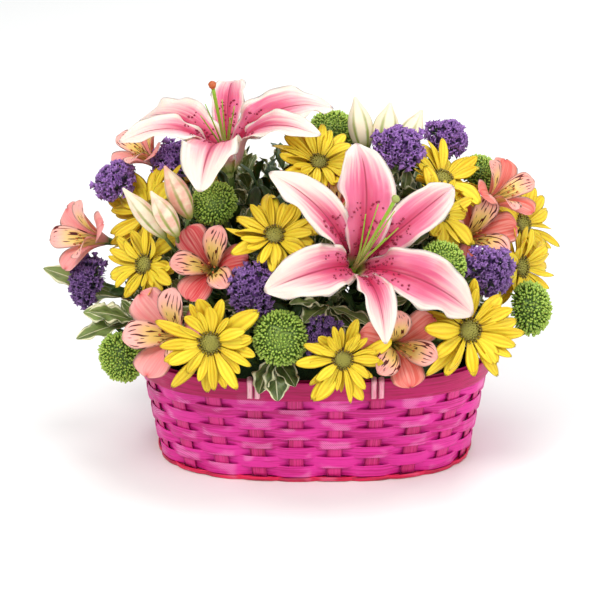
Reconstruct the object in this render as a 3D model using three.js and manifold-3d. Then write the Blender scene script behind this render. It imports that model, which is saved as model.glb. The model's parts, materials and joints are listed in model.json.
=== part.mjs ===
// An oval woven basket holding an arrangement of cut flowers: two open lilies, lily buds, yellow
// daisies, green button chrysanthemums, purple statice, coral alstroemeria and variegated leaves,
// each on a stem that stands in a hole of a foam block, which sits in a liner inside the basket.
// Units are millimetres, +Z is up, the basket stands on z = 0 with its centre at the origin, and
// the front of the arrangement faces -Y.
import * as THREE from "three";
import { mergeVertices } from "three/addons/utils/BufferGeometryUtils.js";
import Module from "manifold-3d";

const wasm = await Module();
wasm.setup();

const { Vector3, Matrix4 } = THREE;
const TURN = 2 * Math.PI;
const GAP = 0.35; // clearance between pieces that touch

// ---------------------------------------------------------------- driving dimensions
const BASKET = {
  height: 80,
  rimHalfLength: 126,
  rimHalfWidth: 85,
  footHalfLength: 111,
  footHalfWidth: 75,
  squareness: 2.8, // exponent of the oval plan: 2 is an ellipse, more is boxier
  stakes: 24,
  stakeSpacing: 28,
  stakeWidth: 11,
  stakeThickness: 1.2,
  stakeEnds: [1, 78.8],
  footThickness: 2.2,
  footOut: 1.4, // how far the foot stands out of the middle of the wall
  rows: 8,
  firstRow: 4.2,
  rowPitch: 7.6,
  stripHeight: 7.2,
  stripThickness: 1.1,
  weave: 1.6, // how far a strip swings out of and into the wall
  bandThickness: 1.4,
  bandClearance: 1.2,
  tieSpread: 43, // distance of each pair of ties from the middle of the long side
  tiePitch: 6.8, // between the two ties of a pair
  tieWidth: 5,
  tieThickness: 0.9,
  tieClearance: 0.7,
  tieHook: 4, // how far a tie reaches down behind the inner band
  footCorners: 28,
  bandCorners: 32,
};
const LINER = { clearance: 6, floor: 3.2, wall: 1, height: 68, corners: 16 };
const FOAM = {
  halfLength: 92,
  halfWidth: 58,
  squareness: 3.2,
  floor: 4.6,
  shoulder: 82,
  top: 96,
  chamfer: 14,
  corners: 16,
};
const PETAL_THICKNESS = 0.7;
const HOLE_CLEARANCE = 0.8; // round a stem where it stands in the foam

const COLOURS = {
  wicker: 0xd0218c,
  wickerDark: 0xb01a72,
  liner: 0x2e3a30,
  foam: 0x3f6b3a,
  lilyPetal: 0xe98bb0,
  lilyStem: 0x8fae4a,
  bud: 0xefe3cf,
  daisy: 0xf4d81f,
  button: 0x6fa53a,
  statice: 0x5a2f9a,
  alstroemeria: 0xef7f7c,
  leaf: 0x5c7a45,
};

// ---------------------------------------------------------------- geometry helpers
function geometryOf(points, faces) {
  return new THREE.BufferGeometry()
    .setAttribute("position", new THREE.Float32BufferAttribute(points.flatMap((p) => [p.x, p.y, p.z]), 3))
    .setIndex(faces.flat());
}

// Joins a list of rings, each with the same number of points, into one closed surface: end to end if
// loop is true, and capped at both ends otherwise. Rings run anticlockwise seen from the far end.
function skin(rings, loop = false) {
  const count = rings[0].length;
  const faces = [];
  const bands = loop ? rings.length : rings.length - 1;
  for (let i = 0; i < bands; i++) {
    const a = i * count;
    const b = ((i + 1) % rings.length) * count;
    for (let j = 0; j < count; j++) {
      const k = (j + 1) % count;
      faces.push([a + j, a + k, b + k], [a + j, b + k, b + j]);
    }
  }
  if (!loop) {
    const last = (rings.length - 1) * count;
    for (let j = 1; j < count - 1; j++) {
      faces.push([0, j + 1, j], [last, last + j, last + j + 1]);
    }
  }
  return geometryOf(rings.flat(), faces);
}

function solidOf(geometry, matrix = new Matrix4()) {
  const bare = new THREE.BufferGeometry().setIndex(geometry.index);
  bare.setAttribute("position", geometry.getAttribute("position").clone());
  bare.applyMatrix4(matrix);
  const merged = mergeVertices(bare, 1e-3);
  return new wasm.Manifold(
    new wasm.Mesh({
      numProp: 3,
      vertProperties: merged.attributes.position.array,
      triVerts: new Uint32Array(merged.index.array),
    }),
  );
}

const fuse = (solids) => wasm.Manifold.union(solids);

function meshOf(name, solid, colour) {
  const { vertProperties, triVerts, numProp } = solid.getMesh();
  const geometry = new THREE.BufferGeometry();
  geometry.setAttribute("position", new THREE.BufferAttribute(new Float32Array(vertProperties), numProp));
  geometry.setIndex(new THREE.BufferAttribute(new Uint32Array(triVerts), 1));
  geometry.computeVertexNormals();
  const material = new THREE.MeshStandardMaterial({ color: colour, roughness: 0.6, metalness: 0 });
  const mesh = new THREE.Mesh(geometry, material);
  mesh.name = name;
  return mesh;
}

// A tube with flat sides along a path of points; radius may be one number or one for each point.
function tube(path, radius, sides = 3) {
  const rings = path.map((point, i) => {
    const before = path[Math.max(i - 1, 0)];
    const after = path[Math.min(i + 1, path.length - 1)];
    const along = after.clone().sub(before).normalize();
    const side = new Vector3(0, 0, 1).cross(along);
    if (side.length() < 0.05) side.set(1, 0, 0);
    side.normalize();
    const up = along.clone().cross(side);
    const r = Array.isArray(radius) ? radius[i] : radius;
    return Array.from({ length: sides }, (_, j) => {
      const t = ((j + 0.5) / sides) * TURN;
      return point.clone().addScaledVector(side, r * Math.cos(t)).addScaledVector(up, r * Math.sin(t));
    });
  });
  return skin(rings);
}

// A thin petal or leaf that lies along +X with its inner face up. Its midrib runs through the spine
// points [x, z]; half widths of 0 make a point; edges stand edgeLift above the midrib.
function blade({ spine, halfWidth, edgeLift }) {
  const across = [-1, 0, 1];
  const stations = spine.map(([x, z], i) => {
    const before = spine[Math.max(i - 1, 0)];
    const after = spine[Math.min(i + 1, spine.length - 1)];
    const along = new Vector3(after[0] - before[0], 0, after[1] - before[1]).normalize();
    const normal = new Vector3(-along.z, 0, along.x);
    const columns = halfWidth[i] > 0 ? across : [0];
    return columns.map((side) => {
      const top = new Vector3(x, side * halfWidth[i], z).addScaledVector(normal, Math.abs(side) * edgeLift[i]);
      return { top, under: top.clone().addScaledVector(normal, -PETAL_THICKNESS) };
    });
  });
  const points = [];
  const ids = stations.map((columns) =>
    columns.map(({ top, under }) => {
      points.push(top, under);
      return points.length - 2;
    }),
  );
  const faces = [];
  const bothFaces = (a, b, c) => faces.push([a, b, c], [a + 1, c + 1, b + 1]);
  ids.slice(0, -1).forEach((a, i) => {
    const b = ids[i + 1];
    for (let c = 0; c < a.length - 1; c++) {
      if (b.length === 1) bothFaces(a[c], b[0], a[c + 1]);
      else if (c === 0) {
        bothFaces(a[c], b[c], a[c + 1]);
        bothFaces(b[c], b[c + 1], a[c + 1]);
      } else {
        bothFaces(a[c], b[c], b[c + 1]);
        bothFaces(a[c], b[c + 1], a[c + 1]);
      }
    }
    const [a0, a1, b0, b1] = [a[0], a[a.length - 1], b[0], b[b.length - 1]];
    faces.push([a1, b1, b1 + 1], [a1, b1 + 1, a1 + 1], [a0, b0 + 1, b0], [a0, a0 + 1, b0 + 1]);
  });
  const cap = (row, turned) => {
    for (let c = 0; c < row.length - 1; c++) {
      const [p, q] = turned ? [row[c + 1], row[c]] : [row[c], row[c + 1]];
      faces.push([p, q, q + 1], [p, q + 1, p + 1]);
    }
  };
  cap(ids[0], false);
  cap(ids[ids.length - 1], true);
  return geometryOf(points, faces);
}

// A dense head whose surface is broken into pointed florets: rings of points round +Z, of which
// every second one stands out by relief. shape(polar angle, turn) scales the radius.
function floretHead({ radius, height, around, levels, lowest, relief, shape = () => 1 }) {
  const rings = [];
  for (let i = levels; i >= 1; i--) {
    const polar = (lowest * i) / levels;
    rings.push(
      Array.from({ length: around }, (_, j) => {
        const turn = ((j + (i % 2) / 2) / around) * TURN;
        const raised = (j + i) % 2 ? relief : -relief;
        const r = shape(polar, turn);
        return new Vector3(
          (radius * r + raised) * Math.sin(polar) * Math.cos(turn),
          (radius * r + raised) * Math.sin(polar) * Math.sin(turn),
          (height * r + raised) * Math.cos(polar),
        );
      }),
    );
  }
  return skin(rings);
}

// The matrix that carries a bloom built round +Z to its place, facing a compass direction. Azimuth 0
// faces the front (-Y), 90 faces +X; elevation is above the horizon; spin turns it on its own axis.
function facing(azimuth, elevation) {
  const a = THREE.MathUtils.degToRad(azimuth);
  const e = THREE.MathUtils.degToRad(elevation);
  return new Vector3(Math.sin(a) * Math.cos(e), -Math.cos(a) * Math.cos(e), Math.sin(e));
}

function placing({ at, azimuth, elevation, spin = 0, size = 1 }) {
  const front = facing(azimuth, elevation);
  const side = new Vector3(0, 0, 1).cross(front).normalize();
  const up = front.clone().cross(side);
  return new Matrix4()
    .makeBasis(side, up, front)
    .setPosition(...at)
    .multiply(new Matrix4().makeRotationZ(THREE.MathUtils.degToRad(spin)))
    .multiply(new Matrix4().makeScale(size, size, size));
}

// A repeatable random number from 0 to 1 for a whole number.
function random(seed) {
  const x = Math.sin(seed * 127.1 + 11.7) * 43758.5453;
  return x - Math.floor(x);
}

// ---------------------------------------------------------------- basket
// A point on the basket's wall: share is the part of the way round, from the middle of the right
// end, z the height, and out the distance outside the middle of the wall.
function wallPoint(turn, z, out = 0) {
  const share = z / BASKET.height;
  const a = THREE.MathUtils.lerp(BASKET.footHalfLength, BASKET.rimHalfLength, share);
  const b = THREE.MathUtils.lerp(BASKET.footHalfWidth, BASKET.rimHalfWidth, share);
  const power = 2 / BASKET.squareness;
  const c = Math.cos(turn);
  const s = Math.sin(turn);
  const oval = (long, short) =>
    new Vector3(long * Math.sign(c) * Math.abs(c) ** power, short * Math.sign(s) * Math.abs(s) ** power, z);
  const point = oval(a, b);
  const normal = new Vector3(
    Math.sign(c) * Math.abs(c) ** (2 - power) / a,
    Math.sign(s) * Math.abs(s) ** (2 - power) / b,
    0,
  ).normalize();
  return point.addScaledVector(normal, out);
}

// The turns at which points lie evenly along the oval.
function evenTurns(count) {
  const samples = 2400;
  const lengths = [0];
  for (let i = 1; i <= samples; i++) {
    const a = wallPoint(((i - 1) / samples) * TURN, BASKET.height / 2);
    const b = wallPoint((i / samples) * TURN, BASKET.height / 2);
    lengths.push(lengths[i - 1] + a.distanceTo(b));
  }
  return Array.from({ length: count }, (_, i) => {
    const target = (i / count) * lengths[samples];
    const after = Math.max(1, lengths.findIndex((length) => length >= target));
    const part = (target - lengths[after - 1]) / (lengths[after] - lengths[after - 1]);
    return ((after - 1 + part) / samples) * TURN;
  });
}

// A closed band round the wall: places lists [turn, out], the distance of its middle from the wall's.
function wallBand(places, low, high, thickness) {
  return skin(
    places.map(([turn, out]) => [
      wallPoint(turn, low, out - thickness / 2),
      wallPoint(turn, high, out - thickness / 2),
      wallPoint(turn, high, out + thickness / 2),
      wallPoint(turn, low, out + thickness / 2),
    ]),
    true,
  );
}

// Every stake has its own pair of turns, one for each edge, so a strip runs flat across a stake and
// slants between stakes.
function stakeEdges() {
  const steps = 40;
  const reach = Math.round((steps * BASKET.stakeWidth) / 2 / BASKET.stakeSpacing);
  const fine = evenTurns(BASKET.stakes * steps);
  return Array.from({ length: BASKET.stakes }, (_, i) => {
    const centre = (i + 0.5) * steps;
    return [fine[centre - reach], fine[centre + reach]];
  });
}

function basketPieces() {
  const edges = stakeEdges();
  const pieces = [];
  const { stakeThickness: t, stripThickness: s, weave } = BASKET;
  for (let row = 0; row < BASKET.rows; row++) {
    const low = BASKET.firstRow + row * BASKET.rowPitch;
    const places = edges.flatMap(([first, last], i) => {
      const out = (i + row) % 2 ? weave : -weave;
      return [
        [first, out],
        [last, out],
      ];
    });
    pieces.push(meshOf(`weaver_${row + 1}`, solidOf(wallBand(places, low, low + BASKET.stripHeight, s)), COLOURS.wicker));
  }

  const ring = evenTurns(BASKET.footCorners);
  const foot = solidOf(
    skin([0, BASKET.footThickness].map((z) => ring.map((turn) => wallPoint(turn, z, BASKET.footOut)))),
  );
  const stakes = edges.map(([first, last]) => {
    const section = (z) => [
      wallPoint(first, z, t / 2),
      wallPoint(last, z, t / 2),
      wallPoint(last, z, -t / 2),
      wallPoint(first, z, -t / 2),
    ];
    return solidOf(skin(BASKET.stakeEnds.map(section)));
  });
  pieces.push(meshOf("base_and_stakes", fuse([foot, ...stakes]), COLOURS.wickerDark));

  const bandLow = BASKET.firstRow + BASKET.rows * BASKET.rowPitch;
  const bandRing = evenTurns(BASKET.bandCorners);
  const off = t / 2 + BASKET.bandThickness / 2 + BASKET.bandClearance;
  const outer = wallBand(bandRing.map((turn) => [turn, off]), bandLow, BASKET.height, BASKET.bandThickness);
  const inner = wallBand(bandRing.map((turn) => [turn, -off]), bandLow, BASKET.height, BASKET.bandThickness);
  pieces.push(meshOf("rim_band_outer", solidOf(outer), COLOURS.wicker));

  const ties = [];
  for (const side of [-1, 1]) {
    for (const middle of [-BASKET.tieSpread, BASKET.tieSpread]) {
      ties.push(tie(middle - BASKET.tiePitch / 2, side, bandLow, off));
      ties.push(tie(middle + BASKET.tiePitch / 2, side, bandLow, off));
    }
  }
  pieces.push(meshOf("rim_band_inner_and_ties", fuse([solidOf(inner), ...ties]), COLOURS.wickerDark));
  return pieces;
}

// How far the wall stands from the long axis at a distance x along it, on the side of y's sign.
function wallDepth(x, side, z, out) {
  let [low, high] = [0, Math.PI];
  for (let i = 0; i < 30; i++) {
    const middle = (low + high) / 2;
    if (wallPoint(middle, z, out).x > x) low = middle;
    else high = middle;
  }
  return side * wallPoint(low, z, out).y;
}

// A thin splint bent over both rim bands, with its root sunk in the inner one.
function tie(x, side, bandLow, off) {
  const { tieWidth, tieThickness, tieHook, height } = BASKET;
  const outside = off + BASKET.bandThickness / 2 + BASKET.tieClearance;
  const top = height + GAP;
  const low = bandLow + 1;
  const at = (out, z) => new THREE.Vector2(wallDepth(x, side, z, out), z);
  const outline = new THREE.Shape([
    at(outside + tieThickness, low),
    at(outside + tieThickness, top + tieThickness),
    at(-off, top + tieThickness),
    at(-off, top - tieHook),
    at(-off + BASKET.bandThickness / 3, top - tieHook),
    at(-off + BASKET.bandThickness / 3, top),
    at(outside, top),
    at(outside, low),
  ]);
  const strip = new THREE.ExtrudeGeometry(outline, { depth: tieWidth, bevelEnabled: false });
  const upright = new Matrix4().makeBasis(new Vector3(0, 1, 0), new Vector3(0, 0, 1), new Vector3(1, 0, 0));
  return solidOf(strip, upright.setPosition(x - tieWidth / 2, 0, 0));
}

// ---------------------------------------------------------------- liner and foam
function linerSolid() {
  const ring = evenTurns(LINER.corners);
  const { clearance, floor, wall, height } = LINER;
  const oval = (z, inset) => ring.map((turn) => wallPoint(turn, z, -inset));
  const outer = solidOf(skin([floor, height].map((z) => oval(z, clearance))));
  const hollow = solidOf(skin([floor + wall, height + 1].map((z) => oval(z, clearance + wall))));
  return outer.subtract(hollow);
}

function foamSolid(holes) {
  const power = 2 / FOAM.squareness;
  const layer = (z, inset) =>
    Array.from({ length: FOAM.corners }, (_, i) => {
      const t = ((i + 0.5) / FOAM.corners) * TURN;
      const [c, s] = [Math.cos(t), Math.sin(t)];
      return new Vector3(
        (FOAM.halfLength - inset) * Math.sign(c) * Math.abs(c) ** power,
        (FOAM.halfWidth - inset) * Math.sign(s) * Math.abs(s) ** power,
        z,
      );
    });
  const block = solidOf(skin([layer(FOAM.floor, 0), layer(FOAM.shoulder, 0), layer(FOAM.top, FOAM.chamfer)]));
  return block.subtract(fuse(holes));
}

// ---------------------------------------------------------------- stems
const holes = [];

// Stems spread like the ribs of a fan: the foot of one that rises to a point stands in the foam at a
// share of that point's distance from the middle, within a limit, and a little higher for tall ones.
const FAN = { spread: [0.5, 0.42], limit: [80, 46], depth: 72, rise: 0.06, holeBelow: 1.5, holeAbove: 60 };

function footOf({ x, y, z }) {
  const [[wide, deep], [right, back]] = [FAN.spread, FAN.limit];
  return new Vector3(
    THREE.MathUtils.clamp(x * wide, -right, right),
    THREE.MathUtils.clamp(y * deep, -back, back),
    FAN.depth + FAN.rise * (z - 100),
  );
}

// A stem from the foam through the points, which also leaves its hole in the foam.
function rootedStem(points, radius) {
  const foot = footOf(points[0]);
  const along = points[0].clone().sub(foot).normalize();
  const start = foot.clone().addScaledVector(along, -FAN.holeBelow);
  const end = foot.clone().addScaledVector(along, FAN.holeAbove);
  holes.push(solidOf(tube([start, end], radius + HOLE_CLEARANCE)));
  return solidOf(tube([foot, ...points], radius));
}

// A stem from the foam to the head of a spray, with a side branch where there is a second head.
function stemFor(heads, radius, neck = 16) {
  const tops = heads.map((head) => new Vector3(...head.at));
  const necks = heads.map((head, i) =>
    tops[i].clone().addScaledVector(facing(head.azimuth, head.elevation), -(head.neck ?? neck)),
  );
  if (heads.length === 1) return [rootedStem([necks[0], tops[0]], radius)];
  const middle = necks[0].clone().lerp(necks[1], 0.5);
  const fork = middle.clone().lerp(footOf(middle), 0.35);
  return [
    rootedStem([fork, necks[0], tops[0]], radius),
    solidOf(tube([fork.clone().lerp(necks[1], -0.02), necks[1], tops[1]], radius * 0.8)),
  ];
}

// ---------------------------------------------------------------- daisies
// A bloom whose petals, disc and calyx are one surface. Petals stand round a hub; outline(j) lists
// the stations of petal j after its root, as [distance from the axis, height, half width], where a
// half width of 0 is a point.
function rosette({ hub, count, outline, crown, calyx }) {
  const step = TURN / count;
  const points = [];
  const faces = [];
  const single = (p) => points.push(p) - 1;
  const pair = (p) => {
    const id = single(p);
    single(p.clone().add(new Vector3(0, 0, -PETAL_THICKNESS)));
    return id;
  };
  const polar = (r, t, z) => new Vector3(r * Math.cos(t), r * Math.sin(t), z);
  const bothFaces = (a, b, c) => faces.push([a, b, c], [a + 1, c + 1, b + 1]);
  const gaps = Array.from({ length: count }, (_, j) => pair(polar(hub, (j - 0.5) * step, 0)));
  const rim = gaps.map((_, j) => single(polar(0.8 * hub, (j - 0.5) * step, 0.6 * crown)));
  const top = single(new Vector3(0, 0, crown));
  const bottom = single(new Vector3(0, 0, -calyx));
  gaps.forEach((gap, j) => {
    const next = (j + 1) % count;
    let [left, right] = [gap, gaps[next]];
    const around = (direction) => (distance, half, height) => {
      const side = Math.atan2(half, distance) * direction;
      return pair(polar(Math.hypot(distance, half), j * step + side, height));
    };
    const edges = { left: [left], right: [right] };
    for (const [distance, height, half] of outline(j)) {
      const newLeft = around(-1)(distance, half, height);
      const newRight = half > 0 ? around(1)(distance, half, height) : newLeft;
      bothFaces(left, newLeft, right);
      if (half > 0) bothFaces(newLeft, newRight, right);
      edges.left.push(newLeft);
      if (half > 0) edges.right.push(newRight);
      [left, right] = [newLeft, newRight];
    }
    const border = [...edges.left, ...edges.right.reverse()];
    border.slice(1).forEach((q, i) => faces.push([border[i], border[i] + 1, q + 1], [border[i], q + 1, q]));
    faces.push([gap, gaps[next], rim[next]], [gap, rim[next], rim[j]], [rim[j], rim[next], top]);
    faces.push([gap + 1, bottom, gaps[next] + 1]);
  });
  return geometryOf(points, faces);
}

const DAISY = { radius: 33, petals: 11, hub: 0.2, widest: 0.66, widestHalf: 5.2, cup: 12, disc: 3.4, calyx: 6 };

function daisyHead(seed) {
  const { radius } = DAISY;
  const step = TURN / DAISY.petals;
  const rise = Math.tan(THREE.MathUtils.degToRad(DAISY.cup));
  const wide = DAISY.widest * radius;
  const outline = (j) => {
    const lift = (j % 2 ? 1.6 : -1.2) + 1.6 * (random(seed * 3 + j) - 0.5);
    const long = radius * (0.9 + 0.1 * random(seed + j));
    const half = Math.min(0.43 * step * wide, DAISY.widestHalf);
    return [
      [wide, rise * (wide - DAISY.hub * radius) + lift, half],
      [long, 0.9 * rise * (long - DAISY.hub * radius) + lift, 0],
    ];
  };
  return rosette({ hub: DAISY.hub * radius, count: DAISY.petals, outline, crown: DAISY.disc, calyx: DAISY.calyx });
}

function daisySpray(heads) {
  return fuse([
    ...stemFor(heads, 1.5),
    ...heads.map((head) => solidOf(daisyHead(head.seed), placing(head))),
  ]);
}

// ---------------------------------------------------------------- buttons and statice
const BUTTON = { radius: 18, height: 14.5, around: 12, levels: 5, lowest: 2.2, relief: 1.1 };
const STATICE = { radius: 17, height: 13, around: 12, levels: 5, lowest: 2.1, relief: 1.5, long: 1.25 };

function buttonSpray(heads) {
  return fuse([...stemFor(heads, 1.5, 22), ...heads.map((head) => solidOf(floretHead(BUTTON), placing(head)))]);
}

// Statice heads are lobed, and longer one way across than the other.
function staticeHead({ seed, long = STATICE.long }) {
  const stretch = (polar, turn) => 1 + (long - 1) * Math.cos(turn) ** 2 * Math.sin(polar);
  const lobes = (polar, turn) =>
    0.9 + 0.1 * Math.sin(3 * turn + seed) * Math.sin(polar) + 0.08 * Math.sin(5 * turn + 2 * polar + seed * 2);
  return floretHead({ ...STATICE, shape: (polar, turn) => stretch(polar, turn) * lobes(polar, turn) });
}

function staticeSpray(heads) {
  return fuse([...stemFor(heads, 1.6, 24), ...heads.map((head) => solidOf(staticeHead(head), placing(head)))]);
}

// ---------------------------------------------------------------- alstroemeria
// Three broad outer petals and three narrow, more upright inner ones: [distance, height, half width].
const ALSTROEMERIA = {
  outer: [[9, 14, 6], [18, 23, 10], [30, 27, 0]],
  inner: [[5, 15, 3], [12, 27, 5], [26, 34, 0]],
  hub: 3,
  throat: 1.5,
  calyx: 9,
};

function alstroemeriaHead() {
  const { outer, inner, hub, throat, calyx } = ALSTROEMERIA;
  return rosette({ hub, count: 6, outline: (j) => (j % 2 ? inner : outer), crown: throat, calyx });
}

function alstroemeriaSpray(heads) {
  return fuse([
    ...stemFor(heads, 1.5, 18),
    ...heads.map((head) => solidOf(alstroemeriaHead(), placing(head))),
  ]);
}

// ---------------------------------------------------------------- lilies
const LILY = {
  petal: {
    spine: [[3, 0], [8, 20], [20, 38], [42, 48], [66, 46], [88, 34]],
    halfWidth: [2.6, 8, 16, 21, 16, 0],
    edgeLift: [0.2, 2, 3, 3, 1, 0],
  },
  sepal: {
    spine: [[3, -1], [11, 18], [24, 34], [45, 43], [67, 41], [88, 29]],
    halfWidth: [2.6, 6, 11, 14, 11, 0],
    edgeLift: [0.2, 1, 1.5, 1.5, 0.5, 0],
  },
  receptacle: 2.2,
  filaments: 6,
};

// Bends a spine outwards by some degrees from its second point on.
function opened(spine, open) {
  const [, [pivotX, pivotZ]] = spine;
  const [c, s] = [Math.cos(THREE.MathUtils.degToRad(open)), Math.sin(THREE.MathUtils.degToRad(open))];
  return spine.map(([x, z], i) => {
    const [dx, dz] = [x - pivotX, z - pivotZ];
    return i < 2 ? [x, z] : [pivotX + dx * c + dz * s, pivotZ - dx * s + dz * c];
  });
}

// The six petals of a lily: each is a broad petal or a narrower sepal at its own turn round the
// bloom, opened a few degrees more or less than the rest, and at its own size.
function lilyBloom(bloom) {
  const frame = placing(bloom);
  return fuse(
    bloom.tepals.map(({ kind, turn, open, size }) => {
      const own = new Matrix4()
        .makeRotationZ(THREE.MathUtils.degToRad(turn))
        .multiply(new Matrix4().makeScale(size, size, size));
      const form = { ...LILY[kind], spine: opened(LILY[kind].spine, open) };
      return solidOf(blade(form), frame.clone().multiply(own));
    }),
  );
}

// The green parts of a lily: its stem, the filaments round the pistil, and the pistil with its knob.
function lilyStem(bloom) {
  const frame = placing(bloom);
  const into = (geometry) => solidOf(geometry, frame);
  const tip = new Vector3(...bloom.pistil);
  const bend = tip.clone().multiplyScalar(0.5).add(new Vector3(0, 0, 6));
  const knob = tip.clone().addScaledVector(tip.clone().sub(bend).normalize(), 4);
  const parts = stemFor([{ ...bloom, neck: 22 }], 2.2);
  parts.push(into(tube([new Vector3(0, 0, -4), new Vector3(0, 0, 8)], LILY.receptacle, 5)));
  parts.push(into(tube([new Vector3(0, 0, 5), bend, tip, knob], [1.6, 1.3, 1.4, 3], 4)));
  for (let j = 0; j < LILY.filaments; j++) {
    const t = ((j + 0.5) / LILY.filaments) * TURN;
    const round = (radius) => new Vector3(radius * Math.cos(t), radius * Math.sin(t), 0);
    const knee = round(3).addScaledVector(tip, 0.16).setZ(26);
    const path = [round(0.6).setZ(4), knee, round(12).addScaledVector(tip, 0.72)];
    parts.push(into(tube(path, [1.1, 0.9, 0.7])));
  }
  return fuse(parts);
}

// A cluster of closed lily buds on short stalks; each has its root, its tip and its girth.
function budCluster({ neck, buds }) {
  const root = new Vector3(...neck);
  const parts = [rootedStem([root], 2)];
  for (const { from, to, girth } of buds) {
    const base = new Vector3(...from);
    const tip = new Vector3(...to);
    const at = (share) => base.clone().lerp(tip, share);
    parts.push(solidOf(tube([root.clone().lerp(base, -0.06), at(0.04)], 1.2)));
    parts.push(solidOf(tube([0, 0.25, 0.6, 0.88, 1].map(at), [2, girth * 0.42, girth * 0.5, girth * 0.32, 1.2], 6)));
  }
  return fuse(parts);
}

// ---------------------------------------------------------------- variegated foliage
// A woody twig with a loose whorl of wavy-edged leaves; each leaf has its tip and its width.
function foliageSpray({ neck, leaves }) {
  const root = new Vector3(...neck);
  const parts = [rootedStem([root], 1.5)];
  leaves.forEach(({ to, width, roll = 0 }, i) => {
    const along = new Vector3(...to).sub(root);
    const length = along.length();
    along.normalize();
    const side = new Vector3(0, 0, 1).cross(along).normalize();
    const up = along.clone().cross(side);
    const matrix = new Matrix4()
      .makeBasis(along, side, up)
      .setPosition(root)
      .multiply(new Matrix4().makeRotationX(THREE.MathUtils.degToRad(roll)));
    const wave = i % 2 ? 1.2 : 0.6;
    parts.push(
      solidOf(
        blade({
          spine: [[-0.5, 0], [0.35 * length, 2], [0.72 * length, 1.5], [length, -1]],
          halfWidth: [1, 0.34 * width, 0.5 * width, 0],
          edgeLift: [0, wave, 1.6 - wave, 0],
        }),
        matrix,
      ),
    );
  });
  return fuse(parts);
}

// ---------------------------------------------------------------- the arrangement
const lilies = {
  front: {
    at: [24, -72, 156],
    azimuth: 20,
    elevation: 35,
    pistil: [10, 24, 82],
    tepals: [
      { kind: "petal", turn: 80, open: 5, size: 0.95 },
      { kind: "sepal", turn: 30, open: 0, size: 1 },
      { kind: "petal", turn: 325, open: 0, size: 0.95 },
      { kind: "sepal", turn: 265, open: -25, size: 0.85 },
      { kind: "petal", turn: 190, open: 0, size: 0.85 },
      { kind: "sepal", turn: 130, open: -5, size: 1 },
    ],
  },
  top: {
    at: [-60, -20, 212],
    azimuth: -15,
    elevation: 65,
    pistil: [0, -4, 80],
    tepals: [
      { kind: "sepal", turn: 100, open: 5, size: 0.85 },
      { kind: "petal", turn: 30, open: 0, size: 0.9 },
      { kind: "sepal", turn: 350, open: -20, size: 0.95 },
      { kind: "petal", turn: 275, open: -15, size: 0.95 },
      { kind: "sepal", turn: 215, open: -25, size: 0.95 },
      { kind: "petal", turn: 160, open: 10, size: 0.85 },
    ],
  },
};

const daisies = {
  daisy_upper_left_of_lily: [{ at: [-28, -84, 186], azimuth: -5, elevation: 50, size: 0.95, seed: 1 }],
  daisy_front_left: [{ at: [-71, -119, 122], azimuth: -10, elevation: 12, size: 1.05, seed: 2 }],
  daisy_front_middle: [{ at: [18, -124, 112], azimuth: 5, elevation: 10, size: 0.9, seed: 3 }],
  daisy_front_right: [{ at: [104, -96, 122], azimuth: 20, elevation: 20, size: 1.1, seed: 4 }],
  daisy_pair_left: [
    { at: [-118, -55, 155], azimuth: -40, elevation: 25, size: 0.95, seed: 5 },
    { at: [-117, -4, 176], azimuth: -60, elevation: 35, size: 1, seed: 6 },
  ],
  daisy_top: [{ at: [2, -41, 224], azimuth: 10, elevation: 60, size: 0.9, seed: 7 }],
  daisy_pair_upper_right: [
    { at: [89, -11, 203], azimuth: 40, elevation: 60, size: 1, seed: 8 },
    { at: [86, -45, 189], azimuth: 50, elevation: 30, size: 0.9, seed: 9 },
  ],
  daisy_pair_right: [
    { at: [147, 19, 158], azimuth: 60, elevation: 30, size: 0.95, seed: 10 },
    { at: [143, -19, 141], azimuth: 60, elevation: 10, size: 0.95, seed: 11 },
  ],
  daisy_pair_back_left: [
    { at: [-90, 80, 170], azimuth: -140, elevation: 35, size: 1, seed: 12 },
    { at: [-60, 105, 120], azimuth: -160, elevation: 15, size: 1, seed: 13 },
  ],
  daisy_pair_back_right: [
    { at: [80, 80, 175], azimuth: 145, elevation: 35, size: 1, seed: 14 },
    { at: [40, 110, 130], azimuth: 170, elevation: 15, size: 1, seed: 15 },
  ],
};

const buttons = {
  button_upper_left: [{ at: [-70, -53, 199], azimuth: -30, elevation: 50, size: 0.9 }],
  button_top: [{ at: [12, 29, 226], azimuth: 0, elevation: 60, size: 0.95 }],
  button_front: [{ at: [-24, -115, 124], azimuth: 0, elevation: 10, size: 1.05 }],
  button_lower_left: [{ at: [-136, -60, 88], azimuth: -50, elevation: -10, size: 1 }],
  button_right_of_lily: [{ at: [86, -83, 165], azimuth: 30, elevation: 40, size: 0.95 }],
  button_right: [{ at: [150, -48, 120], azimuth: 70, elevation: 10, size: 1.05 }],
  button_upper_right: [{ at: [119, 22, 196], azimuth: 60, elevation: 45, size: 0.85 }],
  button_back: [{ at: [0, 90, 190], azimuth: 180, elevation: 40, size: 1 }],
};

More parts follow.
